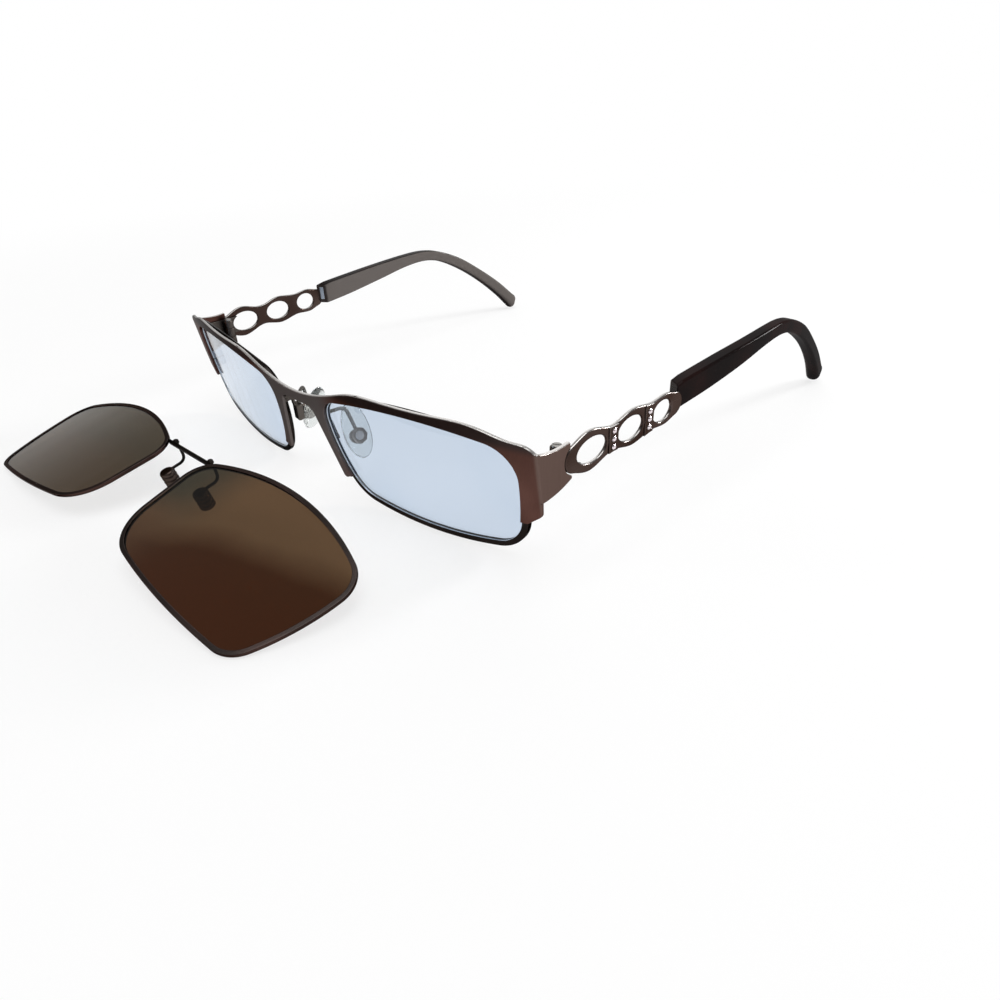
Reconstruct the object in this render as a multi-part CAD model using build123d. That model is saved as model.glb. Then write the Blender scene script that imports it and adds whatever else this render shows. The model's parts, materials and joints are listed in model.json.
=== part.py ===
from build123d import *
import math
import os

os.makedirs("parts", exist_ok=True)

# Metal spectacles with three-ring temples, and the magnetic sun clip that lies in front of them.
# Millimetres. Each piece is drawn on the wearer's left, at +X, and mirrored for the right.
# World: Y runs back from the hinge line, Z up from the table, X = 0 is the plane between the eyes.
# The front and the clip have flat frames of their own: x across, y back through the metal, z up.

# Eye openings of the spectacles, seen from the front
eye_width = 51.1
eye_height = 26.9
eye_gap = 21.3
eye_corner_shares = [(0.116, 0.078), (0.958, 0.095), (0.997, 0.911), (0.005, 0.895)]
eye_rise_shares = [0.086, 0.033, 0.096, 0.082]
eye_radius_shares = [0.295, 0.288, 0.268, 0.213]

# Front: its curve, its lean and its place before the hinge line
wrap_radius = 255.0
front_lean = 7.9
front_setback = 13.2
front_drop = 0.37
eyewire_width = 1.38
eyewire_depth = 1.75
eyewire_bevel = 0.65
lens_thickness = 0.9
lens_setback = 0.6
lens_grip = 0.5
fit_gap = 0.05

# Stamped front plate that covers the brow, the bridge and both sides of each eye
plate_thickness = 0.8
plate_margin = 0.2
side_strip_width = 4.45
bridge_top = 25.7
bridge_height = 2.6
brow_rise = 4.7
brow_shares = [
    (0.125, 0.17), (0.24, 0.58), (0.33, 0.93), (0.45, 1.0), (0.66, 1.0), (0.82, 0.93), (0.925, 0.58),
]
fold_top = 26.8
fold_bottom = 16.0
fold_inset = 0.3
nose_strip_top_inset = 4.45
nose_strip_foot_outset = 0.95
nose_strip_foot_height = 5.65
nose_strip_foot_width = 1.8
nose_strip_step = 0.9
bridge_corner_radius = 2.6
side_strip_foot_outset = 0.95
side_strip_foot_height = 10.15
side_strip_elbow_height = 12.7
side_strip_corner_radius = 1.4
side_strip_step = 1.5

# Hinge: a vertical screw through three knuckles, inside the end plate
hinge_inset = 2.7
hinge_middle_height = 21.3
knuckle_radius = 1.35
knuckle_length = 2.1
middle_knuckle_length = 2.4
knuckle_gap = 0.08
hinge_screw_radius = 0.6
hinge_screw_gap = 0.04
hinge_screw_head_radius = 1.05
hinge_screw_head_height = 0.45
leaf_thickness = 0.6
leaf_length = 4.4
leaf_margin = 0.45

# End plate, from the fold back to the temple, and the plane of the temple
side_offset = 3.0
end_plate_thickness = 0.95
end_plate_top_end = (0.4, 26.4)
end_plate_top_sag = 0.55
end_plate_bottom_end = (1.1, 18.5)
end_plate_bottom_sag = 0.5
end_plate_nest_gap = 0.25
end_plate_front_reach = 2.0

# Three rings of the temple, its wavy outline and the two bars with stones between the rings
temple_splay = 3.0
ring_thickness = 0.95
ring_side_gap = 0.1
ring_front_reach = 0.9
ring_plate_length = 36.8
ring_plate_half_height = 4.35
ring_wave_shares = [
    (0.05, 0.64), (0.19, 1.0), (0.375, 0.645), (0.545, 0.92), (0.71, 0.72), (0.845, 0.80), (0.935, 0.62),
]
hole_centres = [6.8, 18.6, 29.05]
hole_half_lengths = [4.4, 4.0, 3.2]
hole_half_heights = [2.7, 2.6, 2.4]
ring_start_height = 22.3
temple_rise_share = 0.03
bar_places = [12.9, 24.25]
bar_width = 2.7
bar_proud = 0.25
stone_radius = 0.58
stone_spacing = 1.75
stone_sides = 8
stone_depth = 0.45
stone_proud = 0.25
stones_per_bar = 3

# Plastic sleeve of the temple, from its flat front end to the rounded tip on the table
sleeve_front = 34.2
sleeve_front_slant = 1.8
sleeve_reach = 88.9
sleeve_width = 3.4
sleeve_recess = 0.25
sleeve_tip_curl = 7.6
sleeve_curl_start = 55.0
sleeve_bevel = 0.6
sleeve_rest_height = 29.8
sleeve_top_shares = [
    (0.0, 0.925), (0.188, 0.962), (0.33, 0.985), (0.452, 1.0), (0.523, 0.995),
    (0.594, 0.952), (0.696, 0.825), (0.797, 0.637), (0.8985, 0.418), (0.987, 0.185),
]
sleeve_bottom_shares = [
    (0.0, 0.718), (0.138, 0.755), (0.29, 0.815), (0.4115, 0.872), (0.513, 0.885),
    (0.594, 0.835), (0.696, 0.69), (0.797, 0.488), (0.8985, 0.232), (0.9655, 0.02),
]
tip_height_share = 0.085
core_inset = 1.15

# Blocks and screws that close each eyewire round its lens
closing_block_width = 2.2
closing_block_depth = 2.3
closing_block_height = 4.9
closing_block_middle = 14.9
closing_slit = 0.16
closing_screw_radius = 0.5
closing_screw_head_radius = 0.85
closing_screw_head_height = 0.5
thin_bar_sides = 12

# Magnet blocks on the nose side of each eyewire
magnet_block_width = 2.3
magnet_block_depth = 1.7
magnet_block_height = 4.4
magnet_block_inset = 2.9
magnet_block_front = 1.9
magnet_block_middle_height = 16.2
magnet_block_flare = 14.0
magnet_block_edge = 0.3
magnet_neck_width = 1.0
magnet_neck_thickness = 0.6
magnet_neck_inset = 2.9
magnet_neck_foot_height = 19.9
magnet_neck_top_height = 21.1
frame_magnet_wall = 0.45
frame_magnet_height = 3.4

# Nose pads with their arms and boxes
pad_box_centre = (9.24, -8.1, 14.45)
pad_offset = 0.65
pad_flare = 24.5
pad_splay = 7.3
pad_half_length = 6.7
pad_half_width = 3.55
pad_thickness = 1.8
pad_bevel = 0.6
pad_box_gap = 0.5
pad_box_rise = -1.2
pad_box_radius = 1.95
pad_box_sides = 8
pad_box_depth = 1.2
pad_box_wall = 0.35
pad_plate_radius = 1.7
pad_plate_thickness = 0.6
pad_lug_width = 0.84
pad_lug_height = 1.6
pad_pin_gap = 0.04
pad_pin_radius = 0.26
pad_pin_place = 0.35
pad_arm_radius = 0.42
pad_arm_sides = 8
pad_arm_rise = (6.9, -12.65, 19.9)
pad_arm_apex = (9.2, -9.6, 20.85)
pad_arm_bend = 0.9
pad_arm_sink = 0.3
pad_pin_sides = 8

# Clip-on: eye openings, measured to the crown of its thin rims
clip_eye_width = 54.9
clip_eye_height = 31.8
clip_eye_gap = 17.2
clip_corner_shares = [(0.040, 0.111), (0.885, 0.011), (1.003, 0.783), (-0.006, 0.820)]
clip_rise_shares = [0.048, 0.052, 0.198, 0.006]
clip_radius_shares = [0.347, 0.189, 0.199, 0.185]
clip_wrap_radius = 359.0
clip_rim_width = 1.0
clip_rim_depth = 1.15
clip_lens_thickness = 0.7
clip_lens_setback = 0.25
clip_lens_grip = 0.4
clip_rim_bevel = 0.45
clip_bridge_height = 0.9
clip_bridge_depth = 0.85
clip_bridge_setback = 0.35
clip_bridge_middle = 28.65

# Magnet arms of the clip and their ribbed caps
clip_arm_place = 8.3
clip_arm_radius = 0.36
clip_arm_sides = 8
clip_arm_corner = 1.2
clip_arm_knee = (5.5, 28.95)
clip_arm_foot_share = 0.1
clip_eyelet_radius = 0.75
clip_eyelet_height = 29.35
rivet_radius = 0.5
rivet_height = 0.22
cap_radius = 1.85
cap_front = 5.8
cap_length = 4.6
cap_middle = 23.8
cap_ribs = 4
cap_rib_bevel = 0.28
cap_front_bevel = 0.55
cap_sides = 24
clip_magnet_radius = 1.4
clip_magnet_length = 1.8
clip_magnet_recess = 0.15

# How the clip lies on the table before the spectacles
clip_place_x = -16.2
clip_place_y = -65.4
clip_turn = 2.0
clip_lie_back = 76.5

# Reach of the prisms that cut the curved sheets
sheet_reach = 30.0
sheet_height = 90.0

# Places that follow from the eyes: their two ends, the edge of the plate and the hinge
eye_inner = eye_gap / 2
eye_outer = eye_inner + eye_width
plate_half_width = eye_outer + side_strip_width
hinge_half_span = plate_half_width - hinge_inset


def rounded_quad(width, height, left, floor, corner_shares, rise_shares, radius_shares):
    """Closed outline of four bowed sides with rounded corners, as a face."""
    points = [Vector(left + u * width, floor + v * height) for u, v in corner_shares]
    sides = []
    for index, rise in enumerate(rise_shares):
        start = points[index]
        end = points[(index + 1) % len(points)]
        run = end - start
        outward = Vector(run.Y, -run.X).normalized()
        sides.append(ThreePointArc(start, (start + end) / 2 + outward * rise * height, end))
    face = make_face(sides)
    for point, share in zip(points, radius_shares):
        face = fillet(face.vertices().sort_by_distance(point)[0], share * height)
    return face


def grown(face, amount):
    """An outline of arcs that run into each other, moved outward all round."""
    middle = face.center()
    sides = []
    for edge in face.edges():
        points = []
        for share in (0, 0.5, 1):
            point = edge.position_at(share)
            along = edge.tangent_at(share)
            outward = Vector(along.Y, -along.X)
            if outward.dot(point - middle) < 0:
                outward = -outward
            points.append(point + outward * amount)
        sides.append(ThreePointArc(*points))
    return make_face(sides)


def curved_piece(face, radius, front, back):
    """The part of a curved sheet that lies behind a face drawn from the front."""
    prism = extrude(Plane.XZ.offset(-sheet_reach) * face, 2 * sheet_reach)
    sheet = Cylinder(radius - front, sheet_height) - Cylinder(radius - back, sheet_height)
    return prism & Pos(0, radius, 0) * sheet


def front_piece(face, front, back):
    return curved_piece(face, wrap_radius, front, back)


def clip_piece(face, front, back):
    return curved_piece(face, clip_wrap_radius, front, back)


def side_sheet(face, inner, outer):
    """A flat sheet cut to a face that is drawn with y across and z up."""
    return extrude(Plane.YZ.offset(inner) * face, outer - inner)


def wrap_drop(across, radius):
    """How far a curved sheet has gone back at a distance from its middle."""
    return radius - math.sqrt(radius ** 2 - across ** 2)


def block_face(left, right, floor, top):
    return Pos((left + right) / 2, (floor + top) / 2) * Rectangle(right - left, top - floor)


def box_between(low, high):
    """A box from its lowest to its highest corner."""
    size = [b - a for a, b in zip(low, high)]
    middle = [(a + b) / 2 for a, b in zip(low, high)]
    return Pos(*middle) * Box(*size)


def upright(radius, foot, top):
    """A round bar about Z between two heights."""
    return Pos(0, 0, (foot + top) / 2) * Cylinder(radius, top - foot)


def thin_bar(radius, foot, top):
    """A thin bar about Z of a few flat sides, for small fasteners."""
    return Pos(0, 0, foot) * extrude(RegularPolygon(radius, thin_bar_sides), top - foot)


def lying(radius, front, back):
    """A round bar along Y between two depths."""
    return Rot(-90, 0, 0) * upright(radius, front, back)


def wire(points, bend, radius, sides):
    """A wire of straight runs and round bends, with a section of flat sides."""
    line = FilletPolyline(points, radius=bend)
    return sweep(line.location_at(0) * RegularPolygon(radius, sides), path=line)


# Places of the front, the hinge, the open temple and the pad
front_at = Pos(0, -front_setback, -front_drop) * Rot(front_lean, 0, 0)
side_at = Pos(hinge_half_span, 0, 0)
temple_at = side_at * Rot(0, 0, -temple_splay)
pad_at = Pos(*pad_box_centre) * Rot(0, 0, -pad_splay) * Rot(0, -pad_flare, 0)

eye_face = rounded_quad(
    eye_width, eye_height, eye_inner, eyewire_width, eye_corner_shares, eye_rise_shares, eye_radius_shares
)


def bevel_back(rim, bevel):
    """A rim with its outer edge cut slanting at the back."""
    back = rim.faces().sort_by(SortBy.AREA)[-2:].sort_by(Axis.Y)[-1]
    return chamfer(back.outer_wire().edges(), bevel)


# Eyewire, lens and closing block
def closing_block_range():
    outer = eye_outer + eyewire_width
    return outer - closing_block_width, outer


def make_eyewire():
    rim = front_piece(grown(eye_face, eyewire_width) - eye_face, 0, eyewire_depth)
    rim = bevel_back(rim, eyewire_bevel)
    groove_face = grown(eye_face, lens_grip + fit_gap)
    groove = front_piece(groove_face, lens_setback - fit_gap, lens_setback + lens_thickness + fit_gap)
    inner, outer = closing_block_range()
    half = closing_slit / 2
    slit = block_face(inner, outer, closing_block_middle - half, closing_block_middle + half)
    return rim - groove - front_piece(slit, -eyewire_depth, 2 * eyewire_depth)


def make_lens():
    return front_piece(grown(eye_face, lens_grip), lens_setback, lens_setback + lens_thickness)


def closing_screw_at():
    inner, outer = closing_block_range()
    across = (inner + outer) / 2
    back = wrap_drop(across, wrap_radius) + eyewire_depth + closing_block_depth / 2
    return Pos(across, back, closing_block_middle)


def make_closing_block():
    """Two halves that the closing screw draws together."""
    inner, outer = closing_block_range()
    half = closing_block_height / 2
    spans = [(closing_slit / 2, half), (-half, -closing_slit / 2)]
    bore = closing_screw_at() * thin_bar(closing_screw_radius + fit_gap, -half, half)
    halves = []
    for low, high in spans:
        face = block_face(inner, outer, closing_block_middle + low, closing_block_middle + high)
        halves.append(front_piece(face, eyewire_depth, eyewire_depth + closing_block_depth) - bore)
    return halves


def make_closing_screw():
    half = closing_block_height / 2
    shank = thin_bar(closing_screw_radius, -half, half)
    head = thin_bar(closing_screw_head_radius, half, half + closing_screw_head_height)
    return closing_screw_at() * (shank + head)


# Front plate with the end plates bent back from it
def plate_half_face():
    """Left half of the stamped blank without its eye: brow, nose strip and side strip."""
    middle_top = Vector(0, bridge_top)
    middle_bottom = Vector(0, bridge_top - bridge_height)
    brow = [Vector(u * plate_half_width, bridge_top + v * brow_rise) for u, v in brow_shares]
    fold_start = Vector(plate_half_width - fold_inset, fold_top)
    fold_end = Vector(plate_half_width, fold_bottom)
    beyond = Vector(plate_half_width + plate_thickness, fold_bottom)
    beyond_top = Vector(plate_half_width + plate_thickness, fold_top)
    elbow = Vector(plate_half_width - fold_inset, side_strip_elbow_height)
    side_foot = Vector(eye_outer + side_strip_foot_outset, side_strip_foot_height)
    side_step = side_foot - Vector(side_strip_step, 0)
    inside = Vector((eye_inner + eye_outer) / 2, side_strip_foot_height + side_strip_step)
    nose_foot = Vector(eye_inner + nose_strip_foot_outset, nose_strip_foot_height)
    nose_step = nose_foot + Vector(nose_strip_foot_width, nose_strip_step)
    strip_top = Vector(eye_inner - nose_strip_top_inset, middle_bottom.Y)
    top_line = Spline([middle_top, *brow, fold_start], tangents=[(1, 0), (1, -1)])
    rest = Polyline(
        fold_start, beyond_top, beyond, fold_end, elbow, side_foot, side_step, inside, nose_step, nose_foot,
        strip_top, middle_bottom, middle_top,
    )
    face = make_face([top_line, rest])
    face = fillet(face.vertices().sort_by_distance(strip_top)[0], bridge_corner_radius)
    face = fillet(face.vertices().sort_by_distance(nose_foot)[0], nose_strip_foot_width / 2)
    return fillet(face.vertices().sort_by_distance(elbow)[0], side_strip_corner_radius)


def fold_place(height):
    """A point of the fold, seen from the side as y and z."""
    depth = wrap_drop(plate_half_width, wrap_radius) - plate_thickness
    place = (side_at.inverse() * front_at * Pos(plate_half_width, depth, height)).position
    return Vector(place.Y, place.Z)


def make_end_plate():
    top_front = fold_place(fold_top)
    bottom_front = fold_place(fold_bottom)
    top_back = Vector(*end_plate_top_end)
    bottom_back = Vector(*end_plate_bottom_end)
    top_middle = (top_front + top_back) / 2 - Vector(0, end_plate_top_sag)
    bottom_middle = (bottom_front + bottom_back) / 2 - Vector(0, end_plate_bottom_sag)
    reach = Vector(end_plate_front_reach, 0)
    outline = [
        ThreePointArc(top_front, top_middle, top_back),
        Line(top_back, bottom_back),
        ThreePointArc(bottom_back, bottom_middle, bottom_front),
        Polyline(bottom_front, bottom_front - reach, top_front - reach, top_front),
    ]
    nest = ring_plate_face(end_plate_nest_gap)
    return side_sheet(make_face(outline) - nest, side_offset - end_plate_thickness, side_offset)


def make_front_plate():
    face = plate_half_face() - grown(eye_face, plate_margin)
    blank = front_at * front_piece(face, -plate_thickness, 0)
    width = hinge_half_span + side_offset
    blank = blank & Pos(width / 2, 0, 0) * Box(width, sheet_height, sheet_height)
    whole = block_face(0, sheet_height, -sheet_height / 2, sheet_height / 2)
    behind = front_at * front_piece(whole, -plate_thickness, sheet_reach)
    half = blank + (side_at * make_end_plate() & behind)
    return half + mirror(half, about=Plane.YZ)


# Hinges
def hinge_heights():
    """Foot and top of the lower, middle and upper knuckles."""
    half = middle_knuckle_length / 2
    lower_top = hinge_middle_height - half - knuckle_gap
    upper_foot = hinge_middle_height + half + knuckle_gap
    return [
        (lower_top - knuckle_length, lower_top),
        (hinge_middle_height - half, hinge_middle_height + half),
        (upper_foot, upper_foot + knuckle_length),
    ]


def hinge_room(foot, top):
    """Space that a turning knuckle needs."""
    return upright(knuckle_radius + knuckle_gap, foot - knuckle_gap, top + knuckle_gap)


def make_hinge_front():
    lower, middle, upper = hinge_heights()
    outer = side_offset - end_plate_thickness
    inner = outer - leaf_thickness
    front = -leaf_margin - knuckle_radius - leaf_length
    piece = box_between((inner, front, lower[0]), (outer, -leaf_margin, upper[1]))
    for foot, top in (lower, upper):
        web = box_between((0, -knuckle_radius, foot), (inner + leaf_thickness / 2, 0, top))
        piece += upright(knuckle_radius, foot, top) + web
    bore = upright(hinge_screw_radius + hinge_screw_gap, lower[0], upper[1])
    return piece - hinge_room(*middle) - bore


def make_hinge_rear():
    lower, middle, upper = hinge_heights()
    outer = side_offset + ring_side_gap - ring_thickness
    inner = outer - leaf_thickness
    leaf = box_between((inner, leaf_margin, middle[0]), (outer, leaf_margin + leaf_length, upper[1]))
    web = box_between((0, 0, middle[0]), (inner + leaf_thickness / 2, knuckle_radius, middle[1]))
    piece = leaf - ring_hole(0) + web + upright(knuckle_radius, *middle)
    bore = upright(hinge_screw_radius + hinge_screw_gap, lower[0], upper[1])
    return piece - hinge_room(*lower) - hinge_room(*upper) - bore


def make_hinge_screw():
    lower, _, upper = hinge_heights()
    shank = upright(hinge_screw_radius, lower[0], upper[1])
    head = upright(hinge_screw_head_radius, upper[1], upper[1] + hinge_screw_head_height)
    return shank + head


# Rings of the temple with their stones
def ring_height(along):
    return ring_start_height + temple_rise_share * along


def ring_plate_face(grow=0):
    """Wavy outline round all three rings, the same above and below its rising middle line."""
    length = ring_plate_length + 2 * grow
    start = -ring_front_reach - grow
    waves = []
    for side in (1, -1):
        points = []
        for along_share, height_share in ring_wave_shares:
            along = start + along_share * length
            height = height_share * ring_plate_half_height + grow
            points.append(Vector(along, ring_height(along) + side * height))
        waves.append(points)
    top, bottom = waves
    front = ThreePointArc(bottom[0], Vector(start, ring_height(start)), top[0])
    end = Vector(start + length, ring_height(start + length))
    back = ThreePointArc(top[-1], end, bottom[-1])
    top_line = Spline(top, tangents=[front % 1, back % 0])
    bottom_line = Spline(bottom, tangents=[-(front % 0), -(back % 1)])
    return make_face([front, top_line, back, bottom_line])


def ring_hole(index):
    along = hole_centres[index]
    face = Pos(along, ring_height(along)) * Ellipse(hole_half_lengths[index], hole_half_heights[index])
    return side_sheet(face, -sheet_reach, sheet_reach)


def stone_places():
    """Middle of each stone, along the temple and up."""
    middle = (stones_per_bar - 1) / 2
    return [
        (along, ring_height(along) + (row - middle) * stone_spacing)
        for along in bar_places
        for row in range(stones_per_bar)
    ]


def make_rings():
    outer = side_offset + ring_side_gap
    plate_face = ring_plate_face()
    plate = side_sheet(plate_face, outer - ring_thickness, outer)
    for along in bar_places:
        bar = plate_face & Pos(along, ring_height(along)) * Rectangle(bar_width, 2 * ring_plate_half_height)
        plate += side_sheet(bar, outer - ring_thickness, outer + bar_proud)
    for index in range(len(hole_centres)):
        plate -= ring_hole(index)
    for along, height in stone_places():
        seat = Pos(along, height) * RegularPolygon(stone_radius + fit_gap, stone_sides)
        plate -= side_sheet(seat, outer + bar_proud - stone_depth, outer + 2 * bar_proud)
    return plate


def make_stones():
    face_at = side_offset + ring_side_gap + bar_proud
    stones = []
    for along, height in stone_places():
        girdle = Pos(along, height) * RegularPolygon(stone_radius, stone_sides)
        stone = side_sheet(girdle, face_at - stone_depth, face_at + stone_proud)
        stones.append(chamfer(stone.faces().sort_by(Axis.X)[-1].edges(), stone_proud))
    return stones


# Sleeve and the wire inside it
def sleeve_points(shares, shift):
    """Places along one edge of the sleeve seen from the side, as y and z."""
    return [
        Vector(sleeve_front + along * sleeve_reach, height * sleeve_rest_height + shift)
        for along, height in shares
    ]


def sleeve_side_face():
    """Widening to the bend, then thinning down to the rounded tip."""
    top = sleeve_points(sleeve_top_shares, 0)
    bottom = sleeve_points(sleeve_bottom_shares, 0)
    tip = sleeve_points([(1, tip_height_share)], 0)[0]
    return make_face([
        Spline(top),
        ThreePointArc(top[-1], tip, bottom[-1]),
        Spline(bottom[::-1]),
        Line(bottom[0], top[0]),
    ])


def sleeve_outer():
    return side_offset + ring_side_gap - sleeve_recess


def sleeve_plan_face(outer_inset, inner_inset):
    """Seen from above: a slanted front end, straight back, then curling in towards the head."""
    end = sleeve_front + sleeve_reach

    def edge(inset):
        across = sleeve_outer() - inset
        front = Vector(across, sleeve_front + sleeve_front_slant * inset / sleeve_width)
        bend = Vector(across, sleeve_curl_start)
        return front, bend, Vector(across - sleeve_tip_curl, end)

    outer_front, outer_bend, outer_tip = edge(outer_inset)
    inner_front, inner_bend, inner_tip = edge(inner_inset)
    return make_face([
        Line(outer_front, outer_bend),
        TangentArc(outer_bend, outer_tip, tangent=(0, 1)),
        Line(outer_tip, inner_tip),
        TangentArc(inner_bend, inner_tip, tangent=(0, 1)),
        Polyline(inner_bend, inner_front, outer_front),
    ])


def make_sleeve_blank():
    plan = sleeve_plan_face(0, sleeve_width)
    blank = side_sheet(sleeve_side_face(), -sheet_reach, sheet_reach) & extrude(plan, sheet_height)
    return chamfer(blank.edges().sort_by(SortBy.LENGTH)[-4:], sleeve_bevel)


def make_core():
    """Flat wire that runs inside the sleeve from its front end to near the tip."""
    top = sleeve_points(sleeve_top_shares[:-1], -core_inset)
    bottom = sleeve_points(sleeve_bottom_shares[:-1], core_inset)
    side = make_face([
        Spline(top),
        Line(top[-1], bottom[-1]),
        Spline(bottom[::-1]),
        Line(bottom[0], top[0]),
    ])
    plan = sleeve_plan_face(core_inset, sleeve_width - core_inset)
    return side_sheet(side, -sheet_reach, sheet_reach) & extrude(plan, sheet_height)


def make_sleeve():
    inner = side_offset + ring_side_gap - ring_thickness - fit_gap
    return make_sleeve_blank() - side_sheet(ring_plate_face(fit_gap), inner, sheet_reach) - make_core()


# Magnet blocks behind the nose strips, flared like the nose
def block_at():
    middle_depth = magnet_block_front + magnet_block_depth / 2
    middle = Pos(eye_inner - magnet_block_inset, middle_depth, magnet_block_middle_height)
    return middle * Rot(0, -magnet_block_flare, 0)


def magnet_block_body():
    return Box(magnet_block_width, magnet_block_depth, magnet_block_height)


def frame_magnet():
    """A bar magnet pushed in from below."""
    foot = -magnet_block_height / 2
    half_width = magnet_block_width / 2 - frame_magnet_wall
    half_depth = magnet_block_depth / 2 - frame_magnet_wall
    top = foot + frame_magnet_height
    return box_between((-half_width, -half_depth, foot), (half_width, half_depth, top))


def make_magnet_block():
    body = magnet_block_body()
    block = block_at() * (chamfer(body.edges().filter_by(Axis.Z), magnet_block_edge) - frame_magnet())
    middle = eye_inner - magnet_neck_inset
    half = magnet_neck_width / 2
    back = magnet_block_front + magnet_neck_thickness
    neck = box_between(
        (middle - half, magnet_block_front, magnet_block_middle_height),
        (middle + half, back, magnet_neck_top_height),
    )
    foot_face = block_face(middle - half, middle + half, magnet_neck_foot_height, magnet_neck_top_height)
    return block + (neck - block_at() * magnet_block_body()) + front_piece(foot_face, 0, back)


# Nose pads, drawn with their flat side across x and their length up z
def pad_pin_x():
    return pad_thickness / 2 + pad_box_gap + pad_pin_place


def pad_box_prism(radius, start, end):
    """Octagonal prism about the middle of the pad box, along x."""
    face = Pos(0, pad_box_rise) * RegularPolygon(radius, pad_box_sides)
    return side_sheet(face, start, end)


def make_pad_insert():
    surface = pad_thickness / 2
    pin_x = pad_pin_x()
    plate_face = Pos(0, pad_box_rise) * RegularPolygon(pad_plate_radius, thin_bar_sides)
    plate = side_sheet(plate_face, surface - pad_plate_thickness, surface)
    half_width = pad_lug_width / 2
    foot = pad_box_rise - pad_lug_height / 2
    top = pad_box_rise + pad_lug_height / 2
    lug = box_between((surface, -half_width, foot), (pin_x, half_width, top))
    eye = Pos(pin_x, 0, 0) * upright(half_width, foot, top)
    return plate + lug + eye - Pos(pin_x, 0, 0) * upright(pad_pin_radius + pad_pin_gap, foot, top)


def make_pad():
    face = Pos(pad_offset, 0) * Ellipse(pad_half_width, pad_half_length)
    blank = side_sheet(face, -pad_thickness / 2, pad_thickness / 2)
    blank = chamfer(blank.edges(), pad_bevel)
    seat = Pos(0, pad_box_rise) * RegularPolygon(pad_plate_radius + fit_gap, thin_bar_sides)
    return blank - side_sheet(seat, pad_thickness / 2 - pad_plate_thickness, pad_thickness)


def pad_box_half_height():
    return pad_box_radius * math.cos(math.pi / pad_box_sides)


def pad_box_range():
    start = pad_thickness / 2 + pad_box_gap
    return start, start + pad_box_depth


def make_pad_box():
    start, end = pad_box_range()
    cup = pad_box_prism(pad_box_radius, start, end)
    cup -= pad_box_prism(pad_box_radius - pad_box_wall, start, end - pad_box_wall)
    return cup - make_pad_pin()


def make_pad_pin():
    half = pad_box_half_height()
    pin = extrude(RegularPolygon(pad_pin_radius, pad_pin_sides), half, both=True)
    return Pos(pad_pin_x(), 0, pad_box_rise) * pin


def make_pad_arm():
    """Wire from the top of the magnet block over to the top of the pad box."""
    root_depth = magnet_block_depth / 2 - pad_arm_radius
    block_top = magnet_block_height / 2
    root = (front_at * block_at() * Pos(0, root_depth, block_top - pad_arm_sink)).position
    start, end = pad_box_range()
    box_top = pad_box_rise + pad_box_half_height()
    seat = (pad_at * Pos((start + end) / 2, 0, box_top - pad_arm_sink)).position
    points = [root, Vector(*pad_arm_rise), Vector(*pad_arm_apex), seat]
    arm = wire(points, pad_arm_bend, pad_arm_radius, pad_arm_sides)
    block = front_at * block_at() * magnet_block_body()
    return arm - block - pad_at * pad_box_prism(pad_box_radius, start, end)


# Clip-on, in its own flat frame like the front
clip_face = rounded_quad(
    clip_eye_width, clip_eye_height, clip_eye_gap / 2, clip_rim_width, clip_corner_shares, clip_rise_shares,
    clip_radius_shares,
)


def make_clip_rim():
    rim = clip_piece(grown(clip_face, clip_rim_width) - clip_face, 0, clip_rim_depth)
    rim = bevel_back(rim, clip_rim_bevel)
    groove_face = grown(clip_face, clip_lens_grip + fit_gap)
    return rim - clip_piece(
        groove_face, clip_lens_setback - fit_gap, clip_lens_setback + clip_lens_thickness + fit_gap
    )


def make_clip_lens():
    face = grown(clip_face, clip_lens_grip)
    return clip_piece(face, clip_lens_setback, clip_lens_setback + clip_lens_thickness)


def clip_bridge_range():
    drop = wrap_drop(clip_arm_place, clip_wrap_radius)
    return drop + clip_bridge_setback, drop + clip_bridge_setback + clip_bridge_depth


def make_clip_bridge():
    """Straight bar from rim to rim, with an eyelet for each magnet arm."""
    front, back = clip_bridge_range()
    half = clip_eye_gap / 2 + clip_eye_height / 2
    floor = clip_bridge_middle - clip_bridge_height / 2
    bar = box_between((-half, front, floor), (half, back, floor + clip_bridge_height))
    filled = clip_piece(grown(clip_face, clip_rim_width), -clip_rim_depth, 3 * clip_rim_depth)
    bar -= filled + mirror(filled, about=Plane.YZ)
    for side in (1, -1):
        eyelet = Pos(side * clip_arm_place, 0, clip_eyelet_height)
        bar += eyelet * Rot(-90, 0, 0) * thin_bar(clip_eyelet_radius, front, back)
        bar -= eyelet * Rot(-90, 0, 0) * thin_bar(clip_arm_radius + fit_gap, front, back)
    return bar


def make_rivets():
    front, _ = clip_bridge_range()
    place = Pos(clip_arm_place, 0, clip_eyelet_height)
    head = place * Rot(-90, 0, 0) * thin_bar(rivet_radius, front - rivet_height, front)
    return [head, mirror(head, about=Plane.YZ)]


def make_clip_arm():
    """Wire from its eyelet back over the gap and down to the cap."""
    front, back = clip_bridge_range()
    places = [
        (front, clip_eyelet_height),
        (back + clip_arm_corner, clip_eyelet_height),
        clip_arm_knee,
        (cap_front + cap_length * clip_arm_foot_share, cap_middle),
    ]
    points = [Vector(clip_arm_place, *place) for place in places]
    arm = wire(points, clip_arm_corner, clip_arm_radius, clip_arm_sides)
    return arm - cap_at() * lying(cap_radius, 0, cap_length)


def cap_at():
    return Pos(clip_arm_place, cap_front, cap_middle)


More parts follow.
